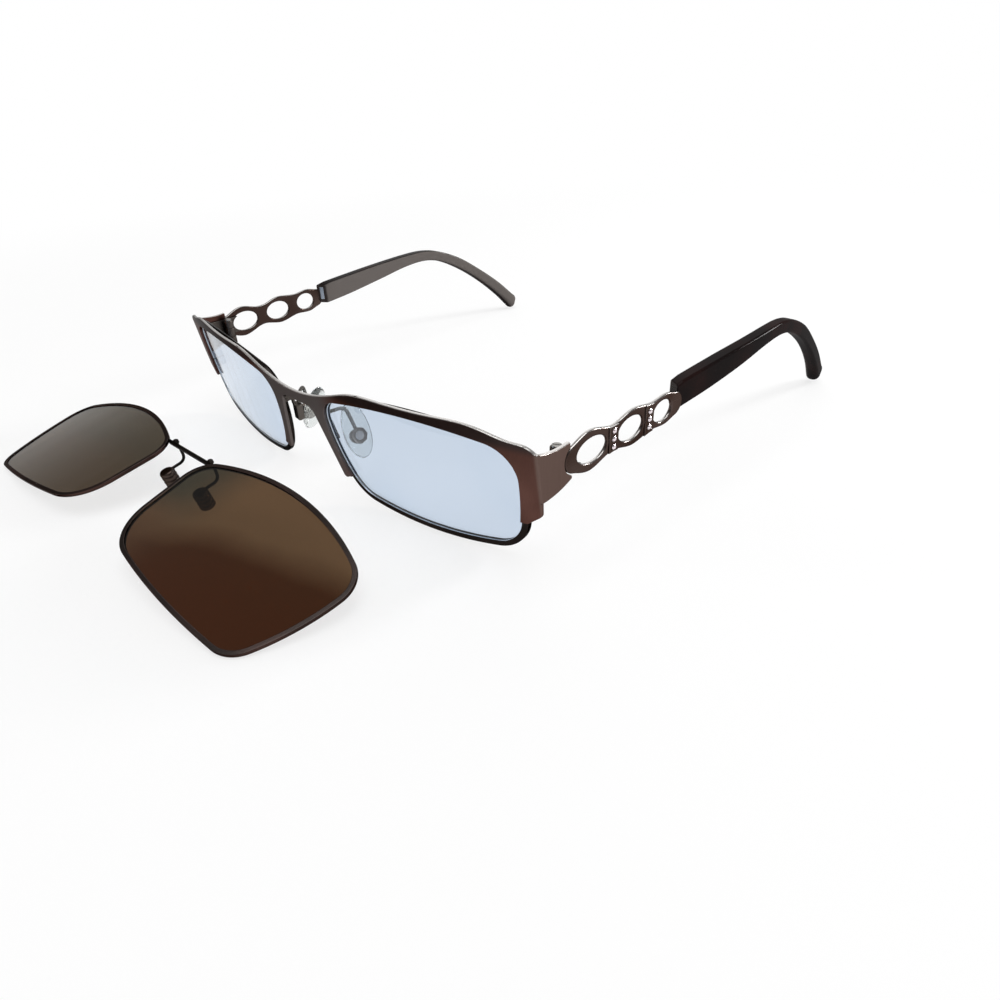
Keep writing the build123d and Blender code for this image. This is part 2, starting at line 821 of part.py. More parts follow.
def make_cap():
    """Cup of bevelled ribs with its opening to the back."""
    pitch = cap_length / cap_ribs
    rib = extrude(RegularPolygon(cap_radius, cap_sides), pitch)
    rib = chamfer(rib.faces().filter_by(Plane.XY).edges(), cap_rib_bevel)
    first = extrude(RegularPolygon(cap_radius, cap_sides), pitch)
    first = chamfer(first.faces().sort_by(Axis.Z)[-1].edges(), cap_rib_bevel)
    cup = chamfer(first.faces().sort_by(Axis.Z)[0].edges(), cap_front_bevel)
    for index in range(1, cap_ribs):
        cup += Pos(0, 0, index * pitch) * rib
    pocket = lying(
        clip_magnet_radius + fit_gap, cap_length - clip_magnet_recess - clip_magnet_length, cap_length
    )
    return cap_at() * (Rot(-90, 0, 0) * cup - pocket)


def make_clip_magnet():
    back = cap_length - clip_magnet_recess
    return cap_at() * lying(clip_magnet_radius, back - clip_magnet_length, back)


nodes = {}


def add(name, *pieces):
    nodes[name] = [solid for piece in pieces for solid in piece.solids()]


def add_pair(name, place, *pieces):
    """One node for each side, the right one mirrored."""
    placed = [place * solid for piece in pieces for solid in piece.solids()]
    add(name + "_left", *placed)
    add(name + "_right", *[mirror(solid, about=Plane.YZ) for solid in placed])


def add_set(name, place, piece):
    """Two alike pieces in one node."""
    add(name, place * piece, mirror(place * piece, about=Plane.YZ))


add_pair("eyewire", front_at, make_eyewire())
add_pair("lens", front_at, make_lens())
add("front_plate", make_front_plate())
add_pair("closing_block", front_at, *make_closing_block())
add_set("closing_screws", front_at, make_closing_screw())
add_pair("hinge_front", side_at, make_hinge_front())
add_pair("hinge_screw", side_at, make_hinge_screw())
add_pair("magnet_block", front_at, make_magnet_block())
add_set("frame_magnets", front_at * block_at(), frame_magnet())
add_pair("pad_arm", Pos(), make_pad_arm())
add_pair("pad_box", pad_at, make_pad_box())
add_set("pad_pins", pad_at, make_pad_pin())
add_pair("nose_pad", pad_at, make_pad())
add_pair("pad_insert", pad_at, make_pad_insert())
add_pair("hinge_rear", temple_at, make_hinge_rear())
add_pair("temple_rings", temple_at, make_rings())
add_pair("temple_stones", temple_at, *make_stones())
add_pair("temple_core", temple_at, make_core())
add_pair("temple_sleeve", temple_at, make_sleeve())
spectacle_nodes = list(nodes)

add_pair("clip_rim", Pos(), make_clip_rim())
add_pair("clip_lens", Pos(), make_clip_lens())
add("clip_bridge", make_clip_bridge())
add("clip_rivets", *make_rivets())
add_pair("magnet_arm", Pos(), make_clip_arm())
add_pair("magnet_cap", Pos(), make_cap())
add_set("clip_magnets", Pos(), make_clip_magnet())
clip_nodes = [name for name in nodes if name not in spectacle_nodes]


def lowest(names):
    return min(solid.bounding_box().min.Z for name in names for solid in nodes[name])


def move(names, place):
    for name in names:
        nodes[name] = [place * solid for solid in nodes[name]]


# Lay the clip down on the same table as the spectacles
clip_laid = Pos(clip_place_x, clip_place_y, 0) * Rot(0, 0, clip_turn) * Rot(-clip_lie_back, 0, 0)
move(clip_nodes, clip_laid)
clip_lift = Pos(0, 0, lowest(spectacle_nodes) - lowest(clip_nodes))
move(clip_nodes, clip_lift)

# Put the middle of the whole footprint at the origin, with the table at zero
whole = Compound(children=[Compound(solid.wrapped) for solids in nodes.values() for solid in solids])
bounds = whole.bounding_box()
home = Pos(-(bounds.min.X + bounds.max.X) / 2, -(bounds.min.Y + bounds.max.Y) / 2, -bounds.min.Z)
move(list(nodes), home)

for name, solids in nodes.items():
    group = solids[0] if len(solids) == 1 else Compound(children=solids)
    export_step(group, "parts/" + name + ".step")


def report(label, place):
    spot = place.position
    print(label, [round(value, 4) for value in (spot.X, spot.Y, spot.Z)])


# Places that the record needs
laid = home * clip_lift * clip_laid
report("home", home)
report("hinge left", home * side_at * Pos(0, 0, hinge_middle_height))
report("pad pin left", home * pad_at * Pos(pad_pin_x(), 0, pad_box_rise))
report("pad pin left, one up", home * pad_at * Pos(pad_pin_x(), 0, pad_box_rise + 1))
block_side = home * front_at * block_at() * Pos(-magnet_block_width / 2, 0, 0)
report("block side left", block_side)
report("block side left, one out", block_side * Pos(-1, 0, 0))
report("cap back left", laid * cap_at() * Pos(0, cap_length - clip_magnet_recess, 0))
report("cap front left", laid * cap_at())
cap_at_right = Pos(-2 * clip_arm_place, 0, 0) * cap_at()
report("cap back right", laid * cap_at_right * Pos(0, cap_length - clip_magnet_recess, 0))
report("bounds", Pos(bounds.size))
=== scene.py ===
import bpy
import bmesh
import json
import math
from mathutils import Matrix, Vector

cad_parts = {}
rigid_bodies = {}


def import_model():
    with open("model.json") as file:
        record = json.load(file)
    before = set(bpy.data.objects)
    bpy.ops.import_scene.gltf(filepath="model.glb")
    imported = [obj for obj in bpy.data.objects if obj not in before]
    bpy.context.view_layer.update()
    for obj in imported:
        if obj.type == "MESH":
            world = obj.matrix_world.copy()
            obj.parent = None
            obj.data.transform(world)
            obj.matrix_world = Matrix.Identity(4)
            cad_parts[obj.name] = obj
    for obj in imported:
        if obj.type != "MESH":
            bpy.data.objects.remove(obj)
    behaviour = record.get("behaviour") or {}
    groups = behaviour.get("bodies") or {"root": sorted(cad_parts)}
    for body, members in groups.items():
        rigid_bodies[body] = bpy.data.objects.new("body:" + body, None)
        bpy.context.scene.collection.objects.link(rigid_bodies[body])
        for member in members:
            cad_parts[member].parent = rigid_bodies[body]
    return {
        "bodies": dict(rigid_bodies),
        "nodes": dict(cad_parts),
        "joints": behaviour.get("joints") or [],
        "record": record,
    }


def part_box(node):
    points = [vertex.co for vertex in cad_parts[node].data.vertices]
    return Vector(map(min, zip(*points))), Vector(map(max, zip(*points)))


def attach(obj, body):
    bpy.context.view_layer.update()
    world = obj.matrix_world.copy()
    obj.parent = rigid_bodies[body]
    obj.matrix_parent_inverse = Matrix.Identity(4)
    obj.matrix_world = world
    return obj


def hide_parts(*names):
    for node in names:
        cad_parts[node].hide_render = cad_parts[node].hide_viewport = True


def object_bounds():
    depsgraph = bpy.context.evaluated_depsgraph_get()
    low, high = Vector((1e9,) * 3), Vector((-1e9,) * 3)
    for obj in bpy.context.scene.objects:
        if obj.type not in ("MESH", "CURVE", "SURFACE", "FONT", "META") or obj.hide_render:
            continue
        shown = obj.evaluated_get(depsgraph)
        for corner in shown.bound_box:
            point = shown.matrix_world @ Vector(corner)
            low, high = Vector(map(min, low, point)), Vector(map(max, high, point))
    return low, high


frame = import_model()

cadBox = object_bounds()
mm = 0.001
weld = 2e-6        # metres between corners that count as one
quarterTurn = math.pi / 2
sides = ("left", "right")
sideSign = {"left": 1, "right": -1}
print("stage: frame loaded")


# Places. Each group of pieces has a frame of its own in millimetres, drawn for the wearer's left
# and mirrored for the right. The worn frame starts between the eyes, under the hinge line, on the table.
worn = {"hingeSpan": 63.5, "hingeHeight": 21.3, "frontBack": -13.2, "frontDrop": -0.37, "frontLean": 7.9,
        "templeSplay": 3.0, "pad": (9.24, -8.1, 14.45), "padSplay": 7.3, "padTilt": 24.5}
capEnd = (8.3, 10.25, 23.8)        # the left cap's end in the clip's own frame
leftHinge = Vector(next(joint["pos_m"] for joint in frame["joints"] if joint["name"] == "temple_fold_left"))
middleX = leftHinge.x - worn["hingeSpan"] * mm
mounts = {mount["name"]: mount for mount in frame["record"]["mounts"]}


def turned(degrees, axis):
    return Matrix.Rotation(math.radians(degrees), 4, axis)


def shifted(*place):
    return Matrix.Translation(place)


def direction(matrix, *way):
    return (matrix.to_3x3() @ Vector(way)).normalized()


def wornAt(side):
    start = leftHinge - Vector((worn["hingeSpan"], 0, worn["hingeHeight"])) * mm
    return shifted(*start) @ Matrix.Diagonal((sideSign[side], 1, 1, 1)) @ Matrix.Scale(mm, 4)


def frontAt(side):
    # across, back through the metal, up
    return wornAt(side) @ shifted(0, worn["frontBack"], worn["frontDrop"]) @ turned(worn["frontLean"], "X")


def templeAt(side):
    # out from the head, along the temple, up
    return wornAt(side) @ shifted(worn["hingeSpan"], 0, 0) @ turned(-worn["templeSplay"], "Z")


def padAt(side):
    # away from the nose, back, up the pad
    return wornAt(side) @ shifted(*worn["pad"]) @ turned(-worn["padSplay"], "Z") @ turned(-worn["padTilt"], "Y")


def clipAt():
    # across, back through the rims, up the lying clip
    left, right = (Vector(mounts["cap_end_" + side]["pos_m"]) for side in sides)
    back = Vector(mounts["cap_end_left"]["axis"]).normalized()
    across = (left - right).normalized()
    across = (across - back * across.dot(back)).normalized()
    axes = Matrix((across, back, across.cross(back))).transposed().to_4x4()
    return shifted(*left) @ axes @ Matrix.Scale(mm, 4) @ shifted(*-Vector(capEnd))


def bodyOf(node):
    return next(name for name, empty in frame["bodies"].items() if frame["nodes"][node].parent == empty)


# Mesh helpers
def withValues(item, **values):
    for key, value in values.items():
        setattr(item, key, value)
    return item


def addObject(name, data):
    item = bpy.data.objects.new(name, data)
    bpy.context.scene.collection.objects.link(item)
    return item


def meshFrom(name, bm):
    bmesh.ops.recalc_face_normals(bm, faces=bm.faces)
    mesh = bpy.data.meshes.new(name)
    bm.to_mesh(mesh)
    bm.free()
    return mesh


def dressed(name, mesh, material, smooth=True):
    # a new object with this mesh and material
    for polygon in mesh.polygons:
        polygon.use_smooth = smooth
    mesh.materials.append(material)
    return addObject(name, mesh)


def newPiece(name, bm, material, smooth=True):
    return dressed(name, meshFrom(name, bm), material, smooth)


def finalMesh(item):
    # what an object's modifiers or curve settings make of it
    graph = bpy.context.evaluated_depsgraph_get()
    return bpy.data.meshes.new_from_object(item.evaluated_get(graph))


def change(piece, kind, **settings):
    # runs one modifier and keeps its result
    withValues(piece.modifiers.new(kind.lower(), kind), **settings)
    done = finalMesh(piece)
    piece.modifiers.clear()
    piece.data = done


def shadeByAngle(piece, degrees):
    # steeper edges stay sharp, and broad faces keep their own shading
    piece.data.set_sharp_from_angle(angle=math.radians(degrees))
    change(piece, "WEIGHTED_NORMAL", keep_sharp=True, weight=80)


def seat(piece, body, slotName, *nodes):
    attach(piece, body)
    if nodes:
        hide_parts(*nodes)


def weldedCopy(node):
    bm = bmesh.new()
    bm.from_mesh(frame["nodes"][node].data)
    bmesh.ops.remove_doubles(bm, verts=bm.verts, dist=weld)
    return bm


def localParts(node, matrix):
    # the lowest corner, middle and highest corner of each loose part of a node, in the given frame
    bm = weldedCopy(node)
    bm.transform(matrix.inverted())
    seen, parts = set(), []
    for start in bm.verts:
        if start in seen:
            continue
        seen.add(start)
        group = [start]
        for vert in group:
            # the group grows while it is walked
            joined = {edge.other_vert(vert) for edge in vert.link_edges} - seen
            seen |= joined
            group += joined
        places = [vert.co for vert in group]
        low, high = Vector(map(min, *places)), Vector(map(max, *places))
        parts.append((low, (low + high) / 2, high))
    bm.free()
    return parts


def aroundCircle(count, shift=0):
    # cosine and sine in equal steps round a circle; shift is the share of a step before the first
    angles = [math.tau * (step + shift) / count for step in range(count)]
    return [(math.cos(angle), math.sin(angle)) for angle in angles]


def quarterRound(steps):
    # sine and cosine in equal steps from 0 to 90 degrees
    angles = [quarterTurn * step / steps for step in range(steps + 1)]
    return [(math.sin(angle), math.cos(angle)) for angle in angles]


def roundedCorner(height, radius, inset):
    # quarter round from a flank to an end face, as (height, radius)
    return [(height - inset * (1 - sine), radius - inset * (1 - cosine)) for sine, cosine in quarterRound(4)]


def dome(height, radius, steps):
    # from the foot to the top, as (height, radius)
    return [(height * sine, radius * cosine) for sine, cosine in quarterRound(steps)]


def lathe(bm, profile, matrix, segments):
    # turns a profile of (height, radius) about the z axis of the given frame
    loops = []
    for height, radius in profile:
        circle = aroundCircle(segments if radius > 1e-6 else 1)
        loops.append([bm.verts.new(matrix @ Vector((radius * cosine, radius * sine, height)))
                      for cosine, sine in circle])
    for low, high in zip(loops, loops[1:]):
        for step in range(segments):
            places = ((low, step), (low, step + 1), (high, step + 1), (high, step))
            corners = list(dict.fromkeys(loop[index % len(loop)] for loop, index in places))
            if len(corners) > 2:
                bm.faces.new(corners)


def softened(node, material, facts, reshape=None):
    # a node with its edges rounded, as tumbling, polishing and plating leave them
    bm = weldedCopy(node)
    bmesh.ops.dissolve_degenerate(bm, edges=bm.edges, dist=weld)
    # the triangles of each flat face become one
    bmesh.ops.dissolve_limit(
        bm, angle_limit=math.radians(0.6), use_dissolve_boundaries=False, verts=bm.verts, edges=bm.edges
    )
    if reshape:
        reshape(bm, node.split("_")[-1])
    bmesh.ops.recalc_face_normals(bm, faces=bm.faces)
    crease = math.radians(facts.get("crease", 28))
    widths = bm.edges.layers.float.new("bevel_weight_edge")
    for edge in bm.edges:
        if len(edge.link_faces) == 2 and edge.calc_face_angle(0) > crease:
            edge[widths] = 1.0
    piece = newPiece(node + "_finished", bm, material)
    change(piece, "BEVEL", limit_method="WEIGHT", width=facts["rounding"] * mm,
           segments=facts.get("segments", 2), use_clamp_overlap=False)
    shadeByAngle(piece, 40)
    seat(piece, bodyOf(node), facts["slot"], node)


def curveMesh(name, kind, lines, **settings):
    # the mesh of a curve along open NURBS lines or round closed POLY outlines
    curve = withValues(bpy.data.curves.new(name, "CURVE"), **settings)
    for line in lines:
        spline = curve.splines.new(kind)
        spline.points.add(len(line) - 1)
        for point, place in zip(spline.points, line):
            point.co = (*place, 1)
        if kind == "NURBS":
            spline.order_u = 3
            spline.use_endpoint_u = True
        else:
            spline.use_cyclic_u = True
    holder = addObject(name, curve)
    mesh = finalMesh(holder)
    bpy.data.objects.remove(holder)
    return mesh


def sweptWire(name, points, radius, material):
    # a round wire along a smooth line that bends near the given points
    mesh = curveMesh(name, "NURBS", [points], dimensions="3D", resolution_u=12, bevel_depth=radius,
                     bevel_resolution=7, use_fill_caps=True)
    piece = dressed(name, mesh, material)
    mesh.set_sharp_from_angle(angle=math.radians(50))
    return piece


def cutSlot(piece, matrix, radius, width, depth):
    # a driver slot across a round end, cut down from the frame's origin
    bm = bmesh.new()
    bmesh.ops.create_cube(bm, size=1.0)
    bm.transform(matrix @ Matrix.Diagonal((3 * radius, width, 2 * depth, 1)))
    cutter = addObject("slot_cutter", meshFrom("slot_cutter", bm))
    change(piece, "BOOLEAN", operation="DIFFERENCE", object=cutter)
    bpy.data.objects.remove(cutter)


# Node helpers. Given sockets are linked, and plain values are set.
def feed(socket, value):
    if isinstance(value, bpy.types.NodeSocket):
        socket.id_data.links.new(value, socket)
    else:
        socket.default_value = value


def addNode(tree, kind, *inputs, **settings):
    # a node with its first inputs fed in order
    node = withValues(tree.nodes.new(kind), **settings)
    for socket, value in zip(node.inputs, inputs):
        feed(socket, value)
    return node


def fill(node, **inputs):
    # feeds the named inputs, where _ stands for a space
    for label, value in inputs.items():
        feed(node.inputs[label.replace("_", " ")], value)
    return node


def nodeOf(tree, kind):
    return next(node for node in tree.nodes if node.type == kind)


def treeOf(*values):
    return next(value.id_data for value in values if isinstance(value, bpy.types.NodeSocket))


def mathNode(operation, *values, clamp=False):
    return addNode(treeOf(*values), "ShaderNodeMath", *values, operation=operation, use_clamp=clamp).outputs[0]


def times(first, *others, clamp=False):
    for other in others:
        first = mathNode("MULTIPLY", first, other, clamp=clamp)
    return first


def plus(first, second):
    return mathNode("ADD", first, second)


def minus(first, second):
    return mathNode("SUBTRACT", first, second)


def largest(first, second):
    return mathNode("MAXIMUM", first, second)


def vectorNode(operation, *values):
    return addNode(treeOf(*values), "ShaderNodeVectorMath", *values, operation=operation).outputs


def between(value, low, high):
    # 0 to 1 as a value goes from low to high
    node = addNode(value.id_data, "ShaderNodeMapRange", value, interpolation_type="SMOOTHSTEP")
    return fill(node, From_Min=low, From_Max=high).outputs[0]


def coordinate(tree, label):
    return addNode(tree, "ShaderNodeTexCoord").outputs[label]


def partsOf(vector):
    # the X, Y and Z outputs of a vector
    return addNode(vector.id_data, "ShaderNodeSeparateXYZ", vector).outputs


def noiseNode(scale, detail, vector=None):
    vector = vector or coordinate(scale.id_data, "Object")
    node = addNode(scale.id_data, "ShaderNodeTexNoise", vector)
    return fill(node, Scale=scale, Detail=detail).outputs["Fac"]


def mixColour(factor, first, second, blend="MIX"):
    node = addNode(treeOf(factor, first, second), "ShaderNodeMix", data_type="RGBA", blend_type=blend)
    for index, value in ((0, factor), (6, first), (7, second)):
        feed(node.inputs[index], (*value, 1) if isinstance(value, tuple) else value)
    return node.outputs[2]


def rampFrom(factor, stops):
    node = addNode(factor.id_data, "ShaderNodeValToRGB", factor)
    while len(node.color_ramp.elements) < len(stops):
        node.color_ramp.elements.new(0.5)
    for element, (place, colour) in zip(node.color_ramp.elements, stops):
        element.position = place
        element.color = (*colour, 1)
    return node.outputs[0]


# Shader groups that several materials share
def makeGroup(name, inputs, outputs):
    group = bpy.data.node_groups.new(name, "ShaderNodeTree")
    for label, value in inputs.items():
        kind = "NodeSocketVector" if isinstance(value, tuple) else "NodeSocketFloat"
        group.interface.new_socket(name=label, in_out="INPUT", socket_type=kind).default_value = value
    for label in outputs:
        group.interface.new_socket(name=label, in_out="OUTPUT", socket_type="NodeSocketFloat")
    return group, group.nodes.new("NodeGroupInput").outputs, group.nodes.new("NodeGroupOutput").inputs


def makeEdgeWear():
    # 1 on tight outer edges, broken up by noise
    inputs = {"Radius": 0.0002, "Amount": 0.5, "Breakup Scale": 900.0}
    group, given, result = makeGroup("edge wear", inputs, ["Mask"])
    bevel = addNode(group, "ShaderNodeBevel", given["Radius"], samples=4)
    normal = addNode(group, "ShaderNodeNewGeometry").outputs["Normal"]
    flatness = vectorNode("DOT_PRODUCT", bevel.outputs[0], normal)["Value"]
    strong = times(minus(1.0, flatness), 6.0, clamp=True)
    broken = between(noiseNode(given["Breakup Scale"], 3.0), 0.35, 0.6)
    feed(result["Mask"], times(strong, broken, given["Amount"], clamp=True))
    return group


def makeGrain():
    # fine mottling and slow clouding, both about 0.5
    group, given, result = makeGroup("fine grain", {"Scale": 4000.0, "Cloud Scale": 90.0}, ["Value", "Cloud"])
    feed(result["Value"], noiseNode(given["Scale"], 4.0))
    feed(result["Cloud"], noiseNode(given["Cloud Scale"], 2.0))
    return group


def makeBrushed():
    # long fine scratches: noise drawn out by the given stretch
    inputs = {"Stretch": (1.0, 0.03, 1.0), "Scale": 5000.0}
    group, given, result = makeGroup("brushed lines", inputs, ["Value"])
    stretched = vectorNode("MULTIPLY", coordinate(group, "Object"), given["Stretch"])["Vector"]
    feed(result["Value"], noiseNode(given["Scale"], 2.0, stretched))
    return group


def makeDust():
    # a thin veil in soft patches on faces that look up
    group, given, result = makeGroup("settled dust", {"Amount": 0.1, "Scale": 240.0}, ["Mask"])
    normal = addNode(group, "ShaderNodeNewGeometry").outputs["Normal"]
    upward = largest(partsOf(normal)["Z"], 0.0)
    patches = noiseNode(given["Scale"], 5.0)
    feed(result["Mask"], times(upward, patches, given["Amount"], clamp=True))
    return group


edgeWear = makeEdgeWear()
fineGrain = makeGrain()
brushedLines = makeBrushed()
settledDust = makeDust()


def placeGroup(tree, group, **values):
    return fill(addNode(tree, "ShaderNodeGroup", node_tree=group), **values).outputs


# Materials
def newMaterial(name, **values):
    material = bpy.data.materials.new(name)
    material.use_nodes = True
    return material, material.node_tree, fill(nodeOf(material.node_tree, "BSDF_PRINCIPLED"), **values)


def addBump(shader, height, strength, distance=0.00002):
    bump = fill(addNode(shader.id_data, "ShaderNodeBump"), Height=height, Strength=strength, Distance=distance)
    fill(shader, Normal=bump.outputs[0])


# shared by all plated metals; facings are how far a face looks up, from none to full; the pale colour on those
# faces and edges is a painted highlight
plating = {"dust": (0.42, 0.4, 0.38), "grazing": (0.35, 0.35, 0.35, 1), "paintedHighlight": (0.85, 0.83, 0.81),
           "highlightCornerFacing": (0.25, 0.7), "highlightLevelFacing": (0.5, 1.0), "highlightLevelShare": 0.85, "polish": 0.1}


def metalFinish(name, tones, worn, roughness, stretch=(1, 1, 0.03), lines=0.14, lineShade=0.05, bump=0.04,
                wear=0.4, wearRadius=0.00016, paintedTopHighlight=0.0, paintedLightTone=None):
    # plated metal: clouded colour, brushed roughness, paler edges and a trace of dust, with an optional painted
    # highlight on faces and edges that look up and an optional tone of painted light or shade
    material, tree, shader = newMaterial(name, Metallic=1.0, Specular_Tint=plating["grazing"])
    grain = placeGroup(tree, fineGrain, Scale=3500.0, Cloud_Scale=60.0)
    brushed = placeGroup(tree, brushedLines, Stretch=stretch, Scale=4200.0)["Value"]
    edges = placeGroup(tree, edgeWear, Radius=wearRadius, Amount=wear, Breakup_Scale=400.0)
    dusty = placeGroup(tree, settledDust, Amount=0.03, Scale=260.0)
    base = mixColour(between(grain["Cloud"], 0.35, 0.66), *tones)
    # a tone of painted light or shade laid over the metal colour
    if paintedLightTone:
        base = paintedLightTone(base)
    shades = [(1 + way * lineShade,) * 3 for way in (-1, 1)]
    base = mixColour(1.0, base, mixColour(between(brushed, 0.25, 0.75), *shades), "MULTIPLY")
    base = mixColour(edges["Mask"], base, worn)
    base = mixColour(dusty["Mask"], base, plating["dust"])
    rough = plus(times(brushed, lines), roughness - lines / 2)
    if paintedTopHighlight:
        # painted highlight: edges and faces that look up are made pale and smoother, as if a lamp shone on them
        paintedHighlight = placeGroup(tree, edgeWear, Radius=0.00028, Amount=1.0, Breakup_Scale=25.0)
        upward = partsOf(coordinate(tree, "Normal"))["Z"]
        corner = times(paintedHighlight["Mask"], between(upward, *plating["highlightCornerFacing"]))
        level = times(between(upward, *plating["highlightLevelFacing"]), plating["highlightLevelShare"])
        highlightShare = times(largest(corner, level), paintedTopHighlight)
        base = mixColour(highlightShare, base, plating["paintedHighlight"])
        rough = minus(rough, times(highlightShare, plating["polish"]))
    fill(shader, Base_Color=base, Roughness=rough)
    addBump(shader, plus(brushed, grain["Value"]), bump)
    return material


def fromMiddle(place):
    # how far a point is out from the middle of the glasses, below 0 on the wearer's right
    return minus(place["X"], middleX)


# places and reaches in metres, each pair from none to full; the colours are painted reflections on the front
# plate
plateReflectionTones = {"brow": (0.034, 0.027, 0.026), "browHeight": (0.0262, 0.0284), "browOut": (0.004, 0.014),
              "browShare": 0.85, "bridge": (0.115, 0.1, 0.096), "bridgeOut": (0.019, 0.009),
              "ends": (0.14, 0.096, 0.082), "endsOut": (0.0655, 0.0663), "endsShare": 0.9}


def paintedPlateReflections(base):
    # painted reflections: darker along the brow, where the metal would mirror the dim ceiling, greyer at the
    # bridge and paler on the end plates
    place = partsOf(coordinate(base.id_data, "Object"))
    out = mathNode("ABSOLUTE", fromMiddle(place))
    above = between(place["Z"], *plateReflectionTones["browHeight"])
    brow = times(above, between(out, *plateReflectionTones["browOut"]), plateReflectionTones["browShare"])
    base = mixColour(brow, base, plateReflectionTones["brow"])
    base = mixColour(between(out, *plateReflectionTones["bridgeOut"]), base, plateReflectionTones["bridge"])
    ends = times(between(out, *plateReflectionTones["endsOut"]), plateReflectionTones["endsShare"])
    return mixColour(ends, base, plateReflectionTones["ends"])


# the groundEdge colour is the painted light in the groove of the eyewire
grooveLightTones = {"eyeOut": 0.036, "eyeHeight": 0.0135, "groundEdge": (0.62, 0.69, 0.77), "groove": (0.006, 0.009)}


def paintedGrooveLight(base):
    # painted light: the groove of the rim is made pale, standing in for the light that the ground edge of the
    # lens scatters through the glass
    place, facing = (partsOf(coordinate(base.id_data, label)) for label in ("Object", "Normal"))
    across = fromMiddle(place)
    out = minus(mathNode("ABSOLUTE", across), grooveLightTones["eyeOut"])
    outward = times(facing["X"], mathNode("SIGN", across), out)
    upward = times(facing["Z"], minus(place["Z"], grooveLightTones["eyeHeight"]))
    inward = times(plus(outward, upward), -1.0)
    return mixColour(between(inward, *grooveLightTones["groove"]), base, grooveLightTones["groundEdge"])


# the amounts for faces that look up set how strong each metal's painted highlight is
metals = {
    "plate": {"tones": ((0.08, 0.038, 0.03), (0.115, 0.056, 0.045)), "worn": (0.5, 0.4, 0.36),
              "roughness": 0.34, "paintedTopHighlight": 0.9, "paintedLightTone": paintedPlateReflections},
    "rings": {"tones": ((0.045, 0.028, 0.023), (0.085, 0.06, 0.052)), "worn": (0.6, 0.54, 0.5),
              "roughness": 0.26, "stretch": (1, 0.03, 1), "lines": 0.1, "lineShade": 0.03, "bump": 0.02,
              "paintedTopHighlight": 0.8},
    "rim": {"tones": ((0.016, 0.013, 0.012), (0.028, 0.022, 0.02)), "worn": (0.15, 0.13, 0.12),
            "roughness": 0.3, "wear": 0.05, "paintedLightTone": paintedGrooveLight},
    "block": {"tones": ((0.07, 0.06, 0.054), (0.13, 0.112, 0.1)), "worn": (0.4, 0.37, 0.34), "roughness": 0.4},
    "steel": {"tones": ((0.26, 0.25, 0.24), (0.42, 0.41, 0.39)), "worn": (0.75, 0.75, 0.75), "roughness": 0.26},
    "wire": {"tones": ((0.1, 0.095, 0.088), (0.19, 0.18, 0.17)), "worn": (0.6, 0.6, 0.6), "roughness": 0.26},
    "clip": {"tones": ((0.03, 0.018, 0.015), (0.065, 0.036, 0.03)), "worn": (0.4, 0.33, 0.28),
             "roughness": 0.24, "wear": 0.12, "wearRadius": 0.00008, "paintedTopHighlight": 0.05},
    "clipWire": {"tones": ((0.014, 0.012, 0.011), (0.032, 0.026, 0.024)), "worn": (0.22, 0.2, 0.18),
                 "roughness": 0.3, "wear": 0.2, "wearRadius": 0.00008},
    "cap": {"tones": ((0.06, 0.043, 0.036), (0.15, 0.115, 0.098)), "worn": (0.6, 0.53, 0.48),
            "roughness": 0.3, "wear": 0.3, "wearRadius": 0.00008},
    "magnet": {"tones": ((0.7, 0.69, 0.68), (0.88, 0.87, 0.86)), "worn": (0.92, 0.92, 0.92), "roughness": 0.2},
}
metal = {key: metalFinish(key + " metal", **own) for key, own in metals.items()}

# a lens with a faint blue cast and wipe marks, milky pads, and foil-backed stones with a rose cast
clouded = {
    "clear lens": {"tones": ((0.53, 0.63, 0.76), (0.59, 0.675, 0.79)), "clouds": (0.3, 0.7), "haze": 0.006,
                   "scales": (900.0, 28.0), "shader": {"IOR": 1.4, "Transmission_Weight": 1.0}},
    "clear silicone": {"tones": ((0.74, 0.77, 0.76), (0.86, 0.88, 0.87)), "haze": 0.06, "bump": 0.02,
                       "scales": (1600.0, 160.0), "shader": {"IOR": 1.41, "Transmission_Weight": 0.95}},
    "foiled stone": {"tones": ((0.75, 0.6, 0.63), (0.93, 0.9, 0.94)), "haze": 0.1, "scales": (2600.0, 700.0),
                     "shader": {"Metallic": 0.75, "Coat_Weight": 1.0, "Coat_Roughness": 0.02}},
}


def cloudedFinish(name):
    # two tones in soft clouds under a faint haze
    facts = clouded[name]
    material, tree, shader = newMaterial(name, **facts["shader"])
    grain = placeGroup(tree, fineGrain, Scale=facts["scales"][0], Cloud_Scale=facts["scales"][1])
    cloud, bump = grain["Cloud"], facts.get("bump")
    share = between(cloud, *facts["clouds"]) if "clouds" in facts else cloud
    fill(shader, Base_Color=mixColour(share, *facts["tones"]),
         Roughness=times(cloud if bump else grain["Value"], facts["haze"]))
    if bump:
        addBump(shader, cloud, bump)
    return material


# reaches in metres from the lens's inner and lower side, each pair from none to full
sunTones = {
    "down": [(0.0, (0.054, 0.017, 0.0055)), (0.3, (0.05, 0.0175, 0.006)), (0.66, (0.122, 0.071, 0.036)),
             (1.0, (0.118, 0.068, 0.034))],
    "slant": 0.35, "wave": 0.008, "haze": 0.01,
    "side": (0.075, 0.041, 0.022), "sideReach": (0.02, 0.001), "sideShare": 0.8,
    "greenReflection": (0.046, 0.04, 0.026), "greenRise": (0.009, 0.021),
    "other": (0.064, 0.046, 0.026), "otherReach": (0.0, -0.008), "otherShare": 0.7,
}


